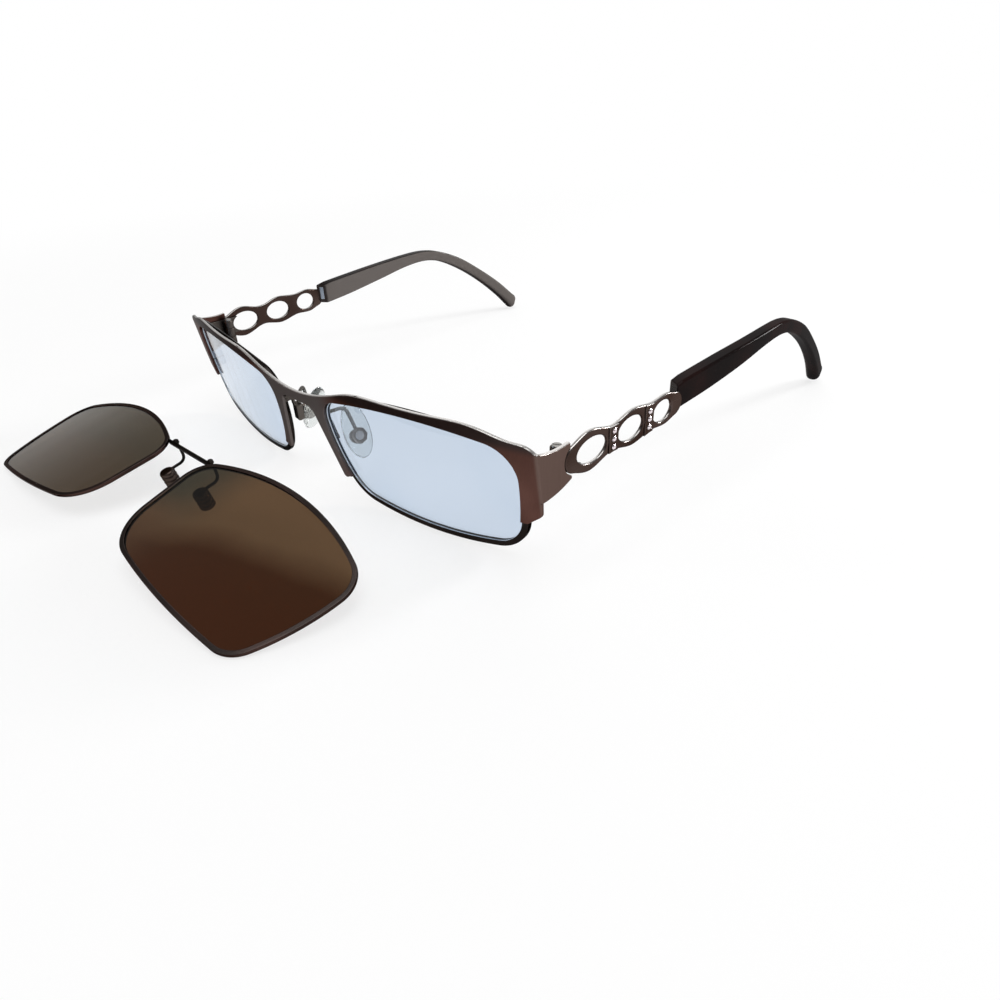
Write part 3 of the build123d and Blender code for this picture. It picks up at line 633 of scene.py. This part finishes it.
def makeSunLensMaterial():
    # dyed brown, redder and darker below, with painted reflections: a lighter slanted upper band, a greenish
    # patch towards one upper corner and a tone of its own for the other lens
    material, tree, shader = newMaterial("sun lens", IOR=1.32, Transmission_Weight=1.0)
    low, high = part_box("clip_lens_left")
    place = partsOf(coordinate(tree, "Object"))
    grain = placeGroup(tree, fineGrain, Scale=700.0, Cloud_Scale=45.0)
    height = plus(place["Y"], times(minus(grain["Cloud"], 0.5), sunTones["wave"]))
    across = minus(place["X"], (low.x + high.x) / 2)
    slanted = minus(height, times(across, sunTones["slant"]))
    # a dye gradient from below; its slant and lighter upper part are partly a painted reflection
    dye = rampFrom(between(slanted, low.y, high.y), sunTones["down"])
    inner = between(place["X"], *(low.x + reach for reach in sunTones["sideReach"]))
    upper = between(height, *(low.y + rise for rise in sunTones["greenRise"]))
    other = between(place["X"], *(low.x + reach for reach in sunTones["otherReach"]))
    dye = mixColour(times(inner, sunTones["sideShare"]), dye, sunTones["side"])
    # painted reflection: a greenish patch towards the inner upper corner
    dye = mixColour(times(inner, upper), dye, sunTones["greenReflection"])
    # painted reflection: the other lens gets a brown of its own
    dye = mixColour(times(other, sunTones["otherShare"]), dye, sunTones["other"])
    fill(shader, Base_Color=dye, Roughness=times(grain["Value"], sunTones["haze"]))
    return material


# the inside colour is a painted reflection on the side against the head
acetateTones = {"dark": (0.005, 0.0028, 0.0028), "cloud": (0.013, 0.0045, 0.004), "clouds": (0.42, 0.72),
                "inside": (0.13, 0.115, 0.107), "insideFacing": (0.3, 0.9), "worn": (0.12, 0.08, 0.07),
                "dust": (0.3, 0.27, 0.26), "haze": 0.1}


def makeAcetateMaterial():
    # near-black brown with dark red clouds under a polish, and a painted reflection that makes the side against
    # the head paler
    values = {"Specular_IOR_Level": 0.0, "Coat_Weight": 0.1, "Coat_Roughness": 0.1}
    material, tree, shader = newMaterial("dark acetate", **values)
    grain = placeGroup(tree, fineGrain, Scale=2500.0, Cloud_Scale=85.0)
    edges = placeGroup(tree, edgeWear, Radius=0.0003, Amount=0.2, Breakup_Scale=500.0)
    dusty = placeGroup(tree, settledDust, Amount=0.02, Scale=300.0)
    side = mathNode("SIGN", fromMiddle(partsOf(coordinate(tree, "Object"))))
    inward = times(partsOf(coordinate(tree, "Normal"))["X"], side, -1.0)
    clouds = between(grain["Cloud"], *acetateTones["clouds"])
    base = mixColour(clouds, acetateTones["dark"], acetateTones["cloud"])
    # painted reflection on faces that look towards the head
    base = mixColour(between(inward, *acetateTones["insideFacing"]), base, acetateTones["inside"])
    base = mixColour(edges["Mask"], base, acetateTones["worn"])
    base = mixColour(dusty["Mask"], base, acetateTones["dust"])
    haze = acetateTones["haze"]
    fill(shader, Base_Color=base, Roughness=plus(times(grain["Value"], haze), haze))
    addBump(shader, grain["Cloud"], 0.04, 0.00005)
    return material


clearLens, silicone, stoneGlass = (cloudedFinish(name) for name in clouded)
sunLens = makeSunLensMaterial()
acetate = makeAcetateMaterial()

slotFinish = {
    "steel": metal["steel"], "magnet": metal["magnet"], "clear_lens": clearLens, "sun_lens": sunLens,
    "pad_clear": silicone, "crystal": stoneGlass, "sleeve_plastic": acetate,
    **{key + "_metal": metal[key] for key in ("rim", "plate", "block", "clip", "cap")},
}
for subpart in frame["record"]["subparts"]:
    # every solid carries a finish, also those that a finer piece stands for
    node = frame["nodes"][subpart["node"]]
    node.data.materials.clear()
    node.data.materials.append(slotFinish[subpart["material_slot"]])
print("stage: materials")


# Front plate, eyewires and lenses
frontPlate = {"rounding": 0.18, "segments": 3, "slot": "plate_metal"}
eyewire = {"rounding": 0.14, "segments": 3, "slot": "rim_metal"}
lens = {"rounding": 0.06, "slot": "clear_lens", "crease": 50, "groundEdge": 0.5, "frontRise": 0.45,
        "backRise": 0.3}
closingBlock = {"rounding": 0.14, "slot": "rim_metal"}
softened("front_plate", metal["plate"], frontPlate)


def raiseFaces(bm, side):
    # both faces stand out from the groove of the rim, inside a ground slope
    forward = direction(frontAt(side), 0, -1, 0)
    bmesh.ops.recalc_face_normals(bm, faces=bm.faces)
    for way, rise in ((forward, lens["frontRise"]), (-forward, lens["backRise"])):
        faces = [face for face in bm.faces if face.normal.dot(way) > 0.8]
        bmesh.ops.inset_region(bm, faces=faces, thickness=lens["groundEdge"] * mm, use_even_offset=True)
        for vert in {vert for face in faces for vert in face.verts}:
            vert.co += way * rise * mm


for side in sides:
    softened("eyewire_" + side, metal["rim"], eyewire)
    softened("lens_" + side, clearLens, lens, reshape=raiseFaces)
    softened("closing_block_" + side, metal["rim"], closingBlock)
print("stage: front")


# Screws of the eyewires and of the hinges, with a slot across each head
closingScrew = {"headHeight": 0.5, "headRadius": 0.82, "shankRadius": 0.49, "footBevel": 0.12, "edge": 0.16,
                "slotWidth": 0.26, "slotDepth": 0.2, "slotTurn": 25}
hingeScrew = {**closingScrew, "headHeight": 0.45, "headRadius": 1.04, "shankRadius": 0.6, "slotWidth": 0.3}


def screwProfile(facts, foot, top):
    shank, bevel, under = facts["shankRadius"], facts["footBevel"], top - facts["headHeight"]
    head = facts["headRadius"]
    profile = [(foot, 0), (foot, shank - bevel), (foot + bevel, shank), (under, shank), (under, head)]
    return profile + roundedCorner(top, head, facts["edge"]) + [(top, 0)]


def makeScrews(node, name, matrix, facts):
    bm = bmesh.new()
    heads = []
    for low, middle, high in localParts(node, matrix):
        at = matrix @ shifted(middle.x, middle.y, 0)
        lathe(bm, screwProfile(facts, low.z, high.z), at, 24)
        heads.append(at @ shifted(0, 0, high.z) @ turned(facts["slotTurn"], "Z"))
    screws = newPiece(name, bm, metal["steel"])
    for head in heads:
        cutSlot(screws, head, facts["headRadius"], facts["slotWidth"], facts["slotDepth"])
    shadeByAngle(screws, 35)
    seat(screws, bodyOf(node), "steel", node)


makeScrews("closing_screws", "slotted_closing_screws", frontAt("left"), closingScrew)
for side in sides:
    makeScrews("hinge_screw_" + side, "slotted_hinge_screw_" + side, wornAt(side), hingeScrew)
print("stage: screws")


# Hinges
hingeLeaf = {"rounding": 0.1, "slot": "steel"}
for side in sides:
    softened("hinge_front_" + side, metal["block"], hingeLeaf)
    softened("hinge_rear_" + side, metal["block"], hingeLeaf)
print("stage: hinges")


# Temple rings. The plate is drawn flat, along the temple and up its middle line.
rings = {"start": -0.9, "length": 36.8, "halfHeight": 4.35, "middle": 22.3, "rise": 0.03, "thickness": 0.95,
         "outer": 3.1, "rounding": 0.34, "steps": 8, "slot": "plate_metal",
         "waves": [(0.05, 0.64), (0.19, 1.0), (0.375, 0.645), (0.545, 0.92), (0.71, 0.72), (0.845, 0.8),
                   (0.935, 0.62)],
         "holes": [(6.8, 4.4, 2.7), (18.6, 4.0, 2.6), (29.05, 3.2, 2.4)],
         "bars": (12.9, 24.25), "barWidth": 2.7, "barProud": 0.25, "barSunk": 0.25, "barInset": 0.04,
         "barRounding": 0.1, "stoneSeat": 0.62}


def smoothLine(points, steps):
    # a line through all points but the first and the last, which lead it in and out
    line = []
    for before, start, end, after in zip(points, points[1:], points[2:], points[3:]):
        leadIn = (end - before) * ((end - start).length / (end - before).length)
        leadOut = (after - start) * ((end - start).length / (after - start).length)
        for step in range(steps):
            share = step / steps
            square, cube = share ** 2, share ** 3
            line.append(start * (2 * cube - 3 * square + 1) + leadIn * (cube - 2 * square + share)
                        + end * (3 * square - 2 * cube) + leadOut * (cube - square))
    line.append(points[-2])
    return line


def endArc(reach, half, steps=8):
    # from the middle of a rounded end up to its shoulder, as depth and height
    radius = (reach ** 2 + half ** 2) / (2 * reach)
    full = math.atan2(half, radius - reach)
    angles = [full * step / steps for step in range(steps + 1)]
    return [(radius * (1 - math.cos(angle)), radius * math.sin(angle)) for angle in angles]


def ringOutline():
    # upper half of the outline from the front end to the tongue, up from the middle line
    length, half = rings["length"], rings["halfHeight"]
    waves = [Vector((along * length, height * half)) for along, height in rings["waves"]]
    front = [Vector(point) for point in endArc(*waves[0])]
    backArc = endArc(length - waves[-1].x, waves[-1].y)
    back = [Vector((length - depth, height)) for depth, height in backArc[::-1]]
    return front[:-1] + smoothLine([front[-2]] + waves + [back[1]], rings["steps"]) + back[1:]


def onPlate(along, height):
    # from plate measures to the flat drawing
    place = along + rings["start"]
    return Vector((place, rings["middle"] + rings["rise"] * place + height, 0))


def flatPlate(outlines, thickness, rounding, matrix):
    # an outline with holes, raised to a thickness with rounded edges; matrix sets its middle plane
    mesh = curveMesh("flat plate", "POLY", outlines, dimensions="2D", fill_mode="BOTH", offset=-rounding,
                     extrude=thickness / 2 - rounding, bevel_depth=rounding, bevel_resolution=3)
    mesh.transform(matrix)
    return mesh


def ellipseLine(centre, halfLength, halfHeight, count):
    return [centre + Vector((halfLength * cosine, halfHeight * sine, 0)) for cosine, sine in aroundCircle(count)]


def makeRings(side):
    # drawing x, y, z become along, up and out
    drawing = templeAt(side) @ Matrix(((0, 0, 1, 0), (1, 0, 0, 0), (0, 1, 0, 0), (0, 0, 0, 1)))
    upper = ringOutline()
    lower = [Vector((point.x, -point.y)) for point in upper[-2:0:-1]]
    outlines = [[onPlate(*point) for point in upper + lower]]
    for along, halfLength, halfHeight in rings["holes"]:
        outlines.append(ellipseLine(onPlate(along - rings["start"], 0), halfLength, halfHeight, 40))
    at = drawing @ shifted(0, 0, rings["outer"] - rings["thickness"] / 2)
    meshes = [flatPlate(outlines, rings["thickness"], rings["rounding"], at)]
    stones = localParts("temple_stones_" + side, templeAt(side))
    for bar in rings["bars"]:
        near, far = (bar - rings["start"] + way * rings["barWidth"] / 2 for way in (-1, 1))
        edge = [point for point in upper if near < point.x < far]
        edge = [Vector((near, edge[0].y))] + edge + [Vector((far, edge[-1].y))]
        outline = [onPlate(point.x, point.y - rings["barInset"]) for point in edge]
        outline += [onPlate(point.x, rings["barInset"] - point.y) for point in edge[::-1]]
        seats = [ellipseLine(Vector((middle.y, middle.z, 0)), rings["stoneSeat"], rings["stoneSeat"], 16)
                 for _, middle, _ in stones if abs(middle.y - bar) < 1]
        thickness = rings["barProud"] + rings["barSunk"]
        at = drawing @ shifted(0, 0, rings["outer"] + rings["barProud"] - thickness / 2)
        meshes.append(flatPlate([outline] + seats, thickness, rings["barRounding"], at))
    bm = bmesh.new()
    for mesh in meshes:
        bm.from_mesh(mesh)
        bpy.data.meshes.remove(mesh)
    bmesh.ops.remove_doubles(bm, verts=bm.verts, dist=weld)
    piece = newPiece("domed_rings_" + side, bm, metal["rings"])
    shadeByAngle(piece, 42)
    seat(piece, "temple_" + side, rings["slot"], "temple_rings_" + side)


# Stones and their claws
stone = {"table": 0.6, "crown": 0.22, "pavilion": 0.4, "facets": 8}
claw = {"count": 4, "radius": 0.17, "height": 0.2, "spread": 0.62, "sunk": 0.25}


def addStone(bm, matrix, low, middle, high):
    # table, crown, girdle and pavilion of a round cut, looking out from the temple
    radius = (high.z - low.z) / 2
    girdle = high.x - stone["crown"]
    count = stone["facets"]

    def ring(x, size, number, shift):
        return [bm.verts.new(matrix @ Vector((x, middle.y + size * cosine, middle.z + size * sine)))
                for cosine, sine in aroundCircle(number, shift)]

    table = ring(high.x, radius * stone["table"], count, 0.5)
    waist = ring(girdle, radius, 2 * count, 0)
    culet = bm.verts.new(matrix @ Vector((girdle - stone["pavilion"], middle.y, middle.z)))
    bm.faces.new(table)
    for step in range(count):
        here, after = table[step], table[(step + 1) % count]
        first, second, third = (waist[(2 * step + offset) % (2 * count)] for offset in (0, 1, 2))
        for corners in ((here, first, second), (here, second, third), (here, third, after),
                        (first, culet, second), (second, culet, third)):
            bm.faces.new(corners)


def addClaws(bm, matrix, middle, high):
    # small beads of metal over the edge of each stone
    spread = claw["spread"]
    for cosine, sine in aroundCircle(claw["count"], 0.5):
        at = shifted(high.x - claw["sunk"], middle.y + spread * cosine, middle.z + spread * sine)
        lathe(bm, dome(claw["height"], claw["radius"], 4), matrix @ at @ turned(90, "Y"), 10)


# Sleeves. Top and bottom lines are given as shares of the reach and of the height.
sleeve = {"front": 34.2, "reach": 88.9, "height": 29.8, "outer": 2.85, "width": 3.4, "slant": 1.8, "slantRun": 8,
          "curlStart": 55.0, "curl": 7.6, "corner": 0.7, "tipCorner": 1.75, "tipSwell": 0.35, "tipStart": 0.7,
          "tipRun": 0.25, "tipReach": 2.2, "frontFall": 0.3, "fallRun": 3.0, "frontRound": 0.45,
          "top": [(0.0, 0.925), (0.188, 0.962), (0.33, 0.985), (0.452, 1.0), (0.523, 0.995), (0.594, 0.952),
                  (0.696, 0.825), (0.797, 0.637), (0.8985, 0.418), (0.987, 0.185)],
          "bottom": [(0.0, 0.718), (0.138, 0.755), (0.29, 0.815), (0.4115, 0.872), (0.513, 0.885),
                     (0.594, 0.835), (0.696, 0.69), (0.797, 0.488), (0.8985, 0.232), (0.9655, 0.02)]}


def within(value):
    return min(max(value, 0), 1)


def edgeLine(shares):
    points = [Vector((0, sleeve["front"] + along * sleeve["reach"], height * sleeve["height"]))
              for along, height in shares]
    leadIn, leadOut = 2 * points[0] - points[1], 2 * points[-1] - points[-2]
    return smoothLine([leadIn] + points + [leadOut], 6)


def sleeveSection(centre, half, top, inset, slanted):
    # rounded box across the sleeve; top is the way up across it, and inset shrinks it
    past = max(centre.y - sleeve["curlStart"], 0)
    run = sleeve["front"] + sleeve["reach"] - sleeve["curlStart"]
    radius = (run ** 2 + sleeve["curl"] ** 2) / (2 * sleeve["curl"])
    curl = radius - math.sqrt(radius ** 2 - past ** 2)
    along = centre.y - sleeve["front"]
    fall = sleeve["frontFall"] * within(1 - along / sleeve["fallRun"]) ** 2
    tip = within((along / sleeve["reach"] - sleeve["tipStart"]) / sleeve["tipRun"])
    halfWidth = sleeve["width"] / 2 + sleeve["tipSwell"] * tip ** 2
    corner = sleeve["corner"] + (sleeve["tipCorner"] - sleeve["corner"]) * tip - inset * 0.6
    points = []
    for quarter, (wayOut, wayUp) in enumerate(((1, 1), (-1, 1), (-1, -1), (1, -1))):
        for step in range(7):
            angle = quarterTurn * (quarter + step / 6)
            across = wayOut * (halfWidth - inset - corner) + corner * math.cos(angle)
            up = wayUp * (half - inset - corner) + corner * math.sin(angle)
            point = centre + top * up
            point.x = sleeve["outer"] - sleeve["width"] / 2 - curl + across
            point.y += sleeve["slant"] * (halfWidth - across) / sleeve["width"] * slanted
            point.z -= fall * max(up, 0) / half
            points.append(point)
    return points


def makeSleeve(side):
    # sections as centre, half height, way up, inset and slant, from a rounded front to a domed tip
    sections = []
    for index, (high, low) in enumerate(zip(edgeLine(sleeve["top"]), edgeLine(sleeve["bottom"]))):
        slanted = max(1 - index / sleeve["slantRun"], 0)
        sections.append(((high + low) / 2, (high - low).length / 2, (high - low).normalized(), 0.0, slanted))
    centre, half, top, _, _ = sections[0]
    rounded = sleeve["frontRound"]
    front = [(centre + Vector((0, rounded * (1 - sine), 0)), half, top, rounded * (1 - cosine), 1.0)
             for sine, cosine in quarterRound(3)[:0:-1]]
    sections = front + [section for section in sections if section[0].y > front[-1][0].y + 0.05]
    bm = bmesh.new()
    loops = [[bm.verts.new(point) for point in sleeveSection(*section)] for section in sections]
    top = sections[-1][2]
    ahead = Vector((0, top.z, -top.y))
    base = sleeveSection(*sections[-1])
    middle = sum(base, Vector()) / len(base)
    for sine, cosine in quarterRound(8)[1:-1]:
        loops.append([bm.verts.new(middle + (point - middle) * cosine + ahead * sleeve["tipReach"] * sine)
                      for point in base])
    for first, second in zip(loops, loops[1:]):
        for index in range(len(first)):
            after = (index + 1) % len(first)
            bm.faces.new((first[index], first[after], second[after], second[index]))
    bm.faces.new(loops[0])
    bm.faces.new(loops[-1])
    bmesh.ops.remove_doubles(bm, verts=bm.verts, dist=0.002)
    bm.transform(templeAt(side))
    piece = newPiece("rounded_sleeve_" + side, bm, acetate)
    shadeByAngle(piece, 60)
    seat(piece, "temple_" + side, "sleeve_plastic", "temple_sleeve_" + side)


for side in sides:
    body = "temple_" + side
    makeRings(side)
    stones, claws = bmesh.new(), bmesh.new()
    for low, middle, high in localParts("temple_stones_" + side, templeAt(side)):
        addStone(stones, templeAt(side), low, middle, high)
        addClaws(claws, templeAt(side), middle, high)
    cut = newPiece("cut_stones_" + side, stones, stoneGlass, smooth=False)
    seat(cut, body, "crystal", "temple_stones_" + side)
    seat(newPiece("stone_claws_" + side, claws, metal["rings"]), body, "plate_metal")
    makeSleeve(side)
    frame["nodes"]["temple_core_" + side].data.materials[0] = metal["rim"]
print("stage: temples")


# Nose pads, their boxes and wires. The pad's profile goes from the skin over the edge to the back.
padShape = {"profile": [(-0.95, 0.0), (-0.93, 0.4), (-0.84, 0.66), (-0.66, 0.84), (-0.4, 0.945), (-0.1, 0.99),
                        (0.12, 1.0), (0.34, 0.98), (0.5, 0.92), (0.58, 0.82), (0.66, 0.68), (0.84, 0.56),
                        (0.88, 0.5), (0.88, 0.0)],
            "topNarrow": 0.05, "segments": 48}
padBox = {"rounding": 0.09, "slot": "steel", "rim": 0.4, "recess": 0.22, "boss": 1.05, "bossHeight": 0.26,
          "bossEdge": 0.08, "bossSunk": 0.02, "crossWidth": 0.28, "crossDepth": 0.16}
magnetBlock = {"rounding": 0.12, "slot": "block_metal"}
padInsert = {"rounding": 0.05, "slot": "steel"}
padArm = {"radius": 0.42, "points": [(7.25, -12.45, 18.0), (7.12, -12.5, 19.2), (6.95, -12.65, 20.1),
                                     (7.6, -11.8, 20.5), (8.6, -10.45, 20.95), (9.35, -9.5, 20.75),
                                     (9.7, -9.05, 19.0), (10.3, -8.3, 15.6)]}


def makePad(side):
    node = "nose_pad_" + side
    low, middle, high = localParts(node, padAt(side))[0]
    halfWidth, halfLength = (high.y - low.y) / 2, (high.z - low.z) / 2
    bm = bmesh.new()
    lathe(bm, padShape["profile"], Matrix.Identity(4), padShape["segments"])
    for vert in bm.verts:
        # from the lathe's frame to the pad: its axis becomes the way out from the nose
        y, z, x = vert.co
        y *= halfWidth * (1 - padShape["topNarrow"] * (1 + z))
        vert.co = padAt(side) @ Vector((x, middle.y + y, middle.z + z * halfLength))
    pad = newPiece("domed_pad_" + side, bm, silicone)
    change(pad, "SUBSURF", levels=1, render_levels=1)
    seat(pad, bodyOf(node), "pad_clear", node)


def recessBack(bm, side):
    outward = direction(padAt(side), 1, 0, 0)
    facing = [face for face in bm.faces if face.normal.dot(outward) > 0.99]
    back = max(facing, key=lambda face: face.calc_center_median().dot(outward))
    bmesh.ops.inset_region(bm, faces=[back], thickness=padBox["rim"] * mm, depth=-padBox["recess"] * mm)


def makeBoxBoss(side):
    # the riveted end of the pin holder, with a cross cut into it
    _, middle, high = localParts("pad_box_" + side, padAt(side))[0]
    radius, height = padBox["boss"], padBox["bossHeight"]
    floor = high.x - padBox["recess"] - padBox["bossSunk"]
    at = padAt(side) @ shifted(floor, middle.y, middle.z) @ turned(90, "Y")
    bm = bmesh.new()
    lathe(bm, [(0, 0), (0, radius)] + roundedCorner(height, radius, padBox["bossEdge"]) + [(height, 0)], at, 24)
    boss = newPiece("pad_box_boss_" + side, bm, metal["magnet"])
    for turn in (0, 90):
        top = at @ shifted(0, 0, height) @ turned(turn, "Z")
        cutSlot(boss, top, radius, padBox["crossWidth"], padBox["crossDepth"])
    shadeByAngle(boss, 35)
    seat(boss, "front", "steel")


for side in sides:
    makePad(side)
    softened("pad_box_" + side, metal["block"], padBox, reshape=recessBack)
    makeBoxBoss(side)
    softened("magnet_block_" + side, metal["block"], magnetBlock)
    softened("pad_insert_" + side, metal["steel"], padInsert)
    points = [wornAt(side) @ Vector(point) for point in padArm["points"]]
    wire = sweptWire("pad_arm_wire_" + side, points, padArm["radius"] * mm, metal["wire"])
    seat(wire, "front", "steel", "pad_arm_" + side)
print("stage: nose pads")


# Clip-on. The arms run straight back over the caps, so their points are only back and up.
clipRim = {"rounding": 0.13, "segments": 3, "slot": "clip_metal"}
clipLens = {"rounding": 0.08, "slot": "sun_lens", "crease": 50}
clipBridge = {"rounding": 0.14, "segments": 3, "slot": "clip_metal"}
clipArm = {"radius": 0.36, "points": [(0.45, 29.35), (1.5, 29.4), (3.6, 29.4), (5.6, 29.1), (6.3, 27.9),
                                      (6.2, 26.3), (6.25, 24.6)]}
cap = {"ribs": 4, "ribSteps": 6, "groove": 0.2, "nose": 0.6, "noseIn": 0.05, "wall": 0.32, "pocket": 2.1,
       "pocketIn": 0.05, "segments": 48}
rivet = {"dome": 0.26, "radius": 0.56}
clip = clipAt()

for side in sides:
    softened("clip_rim_" + side, metal["clip"], clipRim)
    softened("clip_lens_" + side, sunLens, clipLens)
softened("clip_bridge", metal["clipWire"], clipBridge)


def capProfile(length, radius):
    # rounded nose, ribs with narrow grooves, and the pocket of the magnet
    nose, pitch = cap["nose"], length / cap["ribs"]
    profile = [(0, 0)]
    profile += [(nose * (1 - cosine), radius - cap["noseIn"] - nose * (1 - sine))
                for sine, cosine in quarterRound(5)]
    for index in range(cap["ribs"]):
        for step in range(cap["ribSteps"] + 1):
            share = step / cap["ribSteps"]
            height = (index + share) * pitch
            if height > nose:
                profile.append((height, radius - cap["groove"] * (2 * share - 1) ** 4))
    inside, floor = radius - cap["wall"], length - cap["pocket"]
    return profile + [(length, inside), (floor, inside - cap["pocketIn"]), (floor, 0)]


for side in sides:
    node = "magnet_cap_" + side
    low, middle, high = localParts(node, clip)[0]
    bm = bmesh.new()
    at = clip @ shifted(middle.x, low.y, middle.z) @ turned(-90, "X")
    lathe(bm, capProfile(high.y - low.y, (high.z - low.z) / 2), at, cap["segments"])
    piece = newPiece("ribbed_cap_" + side, bm, metal["cap"])
    shadeByAngle(piece, 45)
    seat(piece, "clip_on", "cap_metal", node)
    points = [clip @ Vector((sideSign[side] * capEnd[0], *point)) for point in clipArm["points"]]
    wire = sweptWire("clip_arm_wire_" + side, points, clipArm["radius"] * mm, metal["clipWire"])
    seat(wire, "clip_on", "clip_metal", "magnet_arm_" + side)

bm = bmesh.new()
for _, middle, high in localParts("clip_rivets", clip):
    at = clip @ shifted(middle.x, high.y, middle.z) @ turned(90, "X")
    lathe(bm, dome(rivet["dome"], rivet["radius"], 6), at, 24)
seat(newPiece("domed_rivets", bm, metal["clipWire"]), "clip_on", "clip_metal", "clip_rivets")
print("stage: clip-on")


# Floor, world, lamps and camera
def seenBy(tree, *rays):
    # 1 for the named kinds of ray
    path = addNode(tree, "ShaderNodeLightPath").outputs
    seen = path[rays[0]]
    for ray in rays[1:]:
        seen = largest(seen, path[ray])
    return seen


def mixShaders(share, first, second, output):
    mix = addNode(share.id_data, "ShaderNodeMixShader", share, first.outputs[0], second.outputs[0])
    fill(output, Surface=mix.outputs[0])


floorFacts = {"size": 6.0, "tones": ((0.92, 0.92, 0.92), (0.94, 0.94, 0.94)), "glowNear": 0.75, "glowFar": 1.0,
              "reach": (0.14, 0.5)}


def makeFloor():
    # white to the eye, and to glass and metal, further away, with the object's shadow near it
    bm = bmesh.new()
    bmesh.ops.create_grid(bm, x_segments=2, y_segments=2, size=floorFacts["size"])
    material, tree, shader = newMaterial("pale floor", Roughness=0.9, Specular_IOR_Level=0.0)
    grain = placeGroup(tree, fineGrain, Scale=60.0, Cloud_Scale=3.0)
    fill(shader, Base_Color=mixColour(grain["Value"], *floorFacts["tones"]))
    away = vectorNode("LENGTH", coordinate(tree, "Object"))["Value"]
    rise = times(between(away, *floorFacts["reach"]), floorFacts["glowFar"] - floorFacts["glowNear"])
    seen = seenBy(tree, "Is Camera Ray", "Is Glossy Ray", "Is Transmission Ray")
    share = times(seen, plus(rise, floorFacts["glowNear"]))
    mixShaders(share, shader, addNode(tree, "ShaderNodeEmission"), nodeOf(tree, "OUTPUT_MATERIAL"))
    floor = newPiece("studio_floor", bm, material)
    floor.location.z = cadBox[0][2] - 0.00001


skyFacts = {"greys": [(0.0, 0.8), (0.12, 0.62), (0.4, 0.25), (1.0, 0.22)], "towards": (-0.66, 0.6, 0.45),
            "rim": 0.84, "glow": 4.5}


def makeWorld():
    # white behind the object, and for light and reflections a bright horizon under a dim ceiling
    world = bpy.data.worlds.new("studio")
    bpy.context.scene.world = world
    world.use_nodes = True
    tree = world.node_tree
    background = nodeOf(tree, "BACKGROUND")
    way = coordinate(tree, "Generated")
    stops = [(place, (grey,) * 3) for place, grey in skyFacts["greys"]]
    # a soft glow on one side, without an edge to be mirrored
    towards = vectorNode("DOT_PRODUCT", way, Vector(skyFacts["towards"]).normalized())["Value"]
    glow = times(between(towards, skyFacts["rim"], 1.0), skyFacts["glow"])
    fill(background, Color=rampFrom(partsOf(way)["Z"], stops), Strength=plus(glow, 1.0))
    white = addNode(tree, "ShaderNodeBackground", (1, 1, 1, 1))
    seen = seenBy(tree, "Is Camera Ray", "Is Transmission Ray")
    mixShaders(seen, background, white, nodeOf(tree, "OUTPUT_WORLD"))


studioLamps = {
    "overhead": {"place": (0.1, -0.05, 0.95), "aim": (0.0, -0.02, 0.0), "size": 0.8, "watts": 5.2},
    "strip": {"place": (0.4, 0.82, 0.37), "aim": (0.06, 0.03, 0.02), "size": 0.2, "watts": 6.0},
    "low": {"place": (-0.85, -0.75, 0.24), "aim": (0.0, -0.04, 0.01), "size": 0.25, "watts": 1.6},
}


def makeLamps():
    for name, facts in studioLamps.items():
        data = bpy.data.lights.new(name, "AREA")
        withValues(data, shape="SQUARE", size=facts["size"], energy=facts["watts"])
        lamp = addObject(name, data)
        lamp.location = facts["place"]
        aim = Vector(facts["aim"]) - Vector(facts["place"])
        lamp.rotation_euler = aim.to_track_quat("-Z", "Y").to_euler()


# angles in radians; yaw and pitch turn the view from straight back, roll tips it
cameraFacts = {"fromHinge": (0.07632, -0.09095), "height": 0.08565, "yaw": -0.7913, "pitch": 0.5479,
               "roll": -0.0430, "optics": {"lens": 25.507, "sensor_width": 36.0, "clip_start": 0.005}}


def makeCamera():
    yaw, pitch = cameraFacts["yaw"], cameraFacts["pitch"]
    ahead = Vector((math.sin(yaw) * math.cos(pitch), math.cos(yaw) * math.cos(pitch), -math.sin(pitch)))
    across = ahead.cross(Vector((0, 0, 1))).normalized()
    level = Matrix((across, across.cross(ahead), -ahead)).transposed().to_4x4()
    x, y = cameraFacts["fromHinge"]
    camera = addObject("view", withValues(bpy.data.cameras.new("view"), **cameraFacts["optics"]))
    camera.matrix_world = (shifted(leftHinge.x + x, leftHinge.y + y, cameraFacts["height"]) @ level
                           @ Matrix.Rotation(cameraFacts["roll"], 4, "Z"))
    bpy.context.scene.camera = camera


makeFloor()
makeWorld()
makeLamps()
makeCamera()
bpy.context.scene.view_settings.view_transform = "Standard"
print("stage: studio")
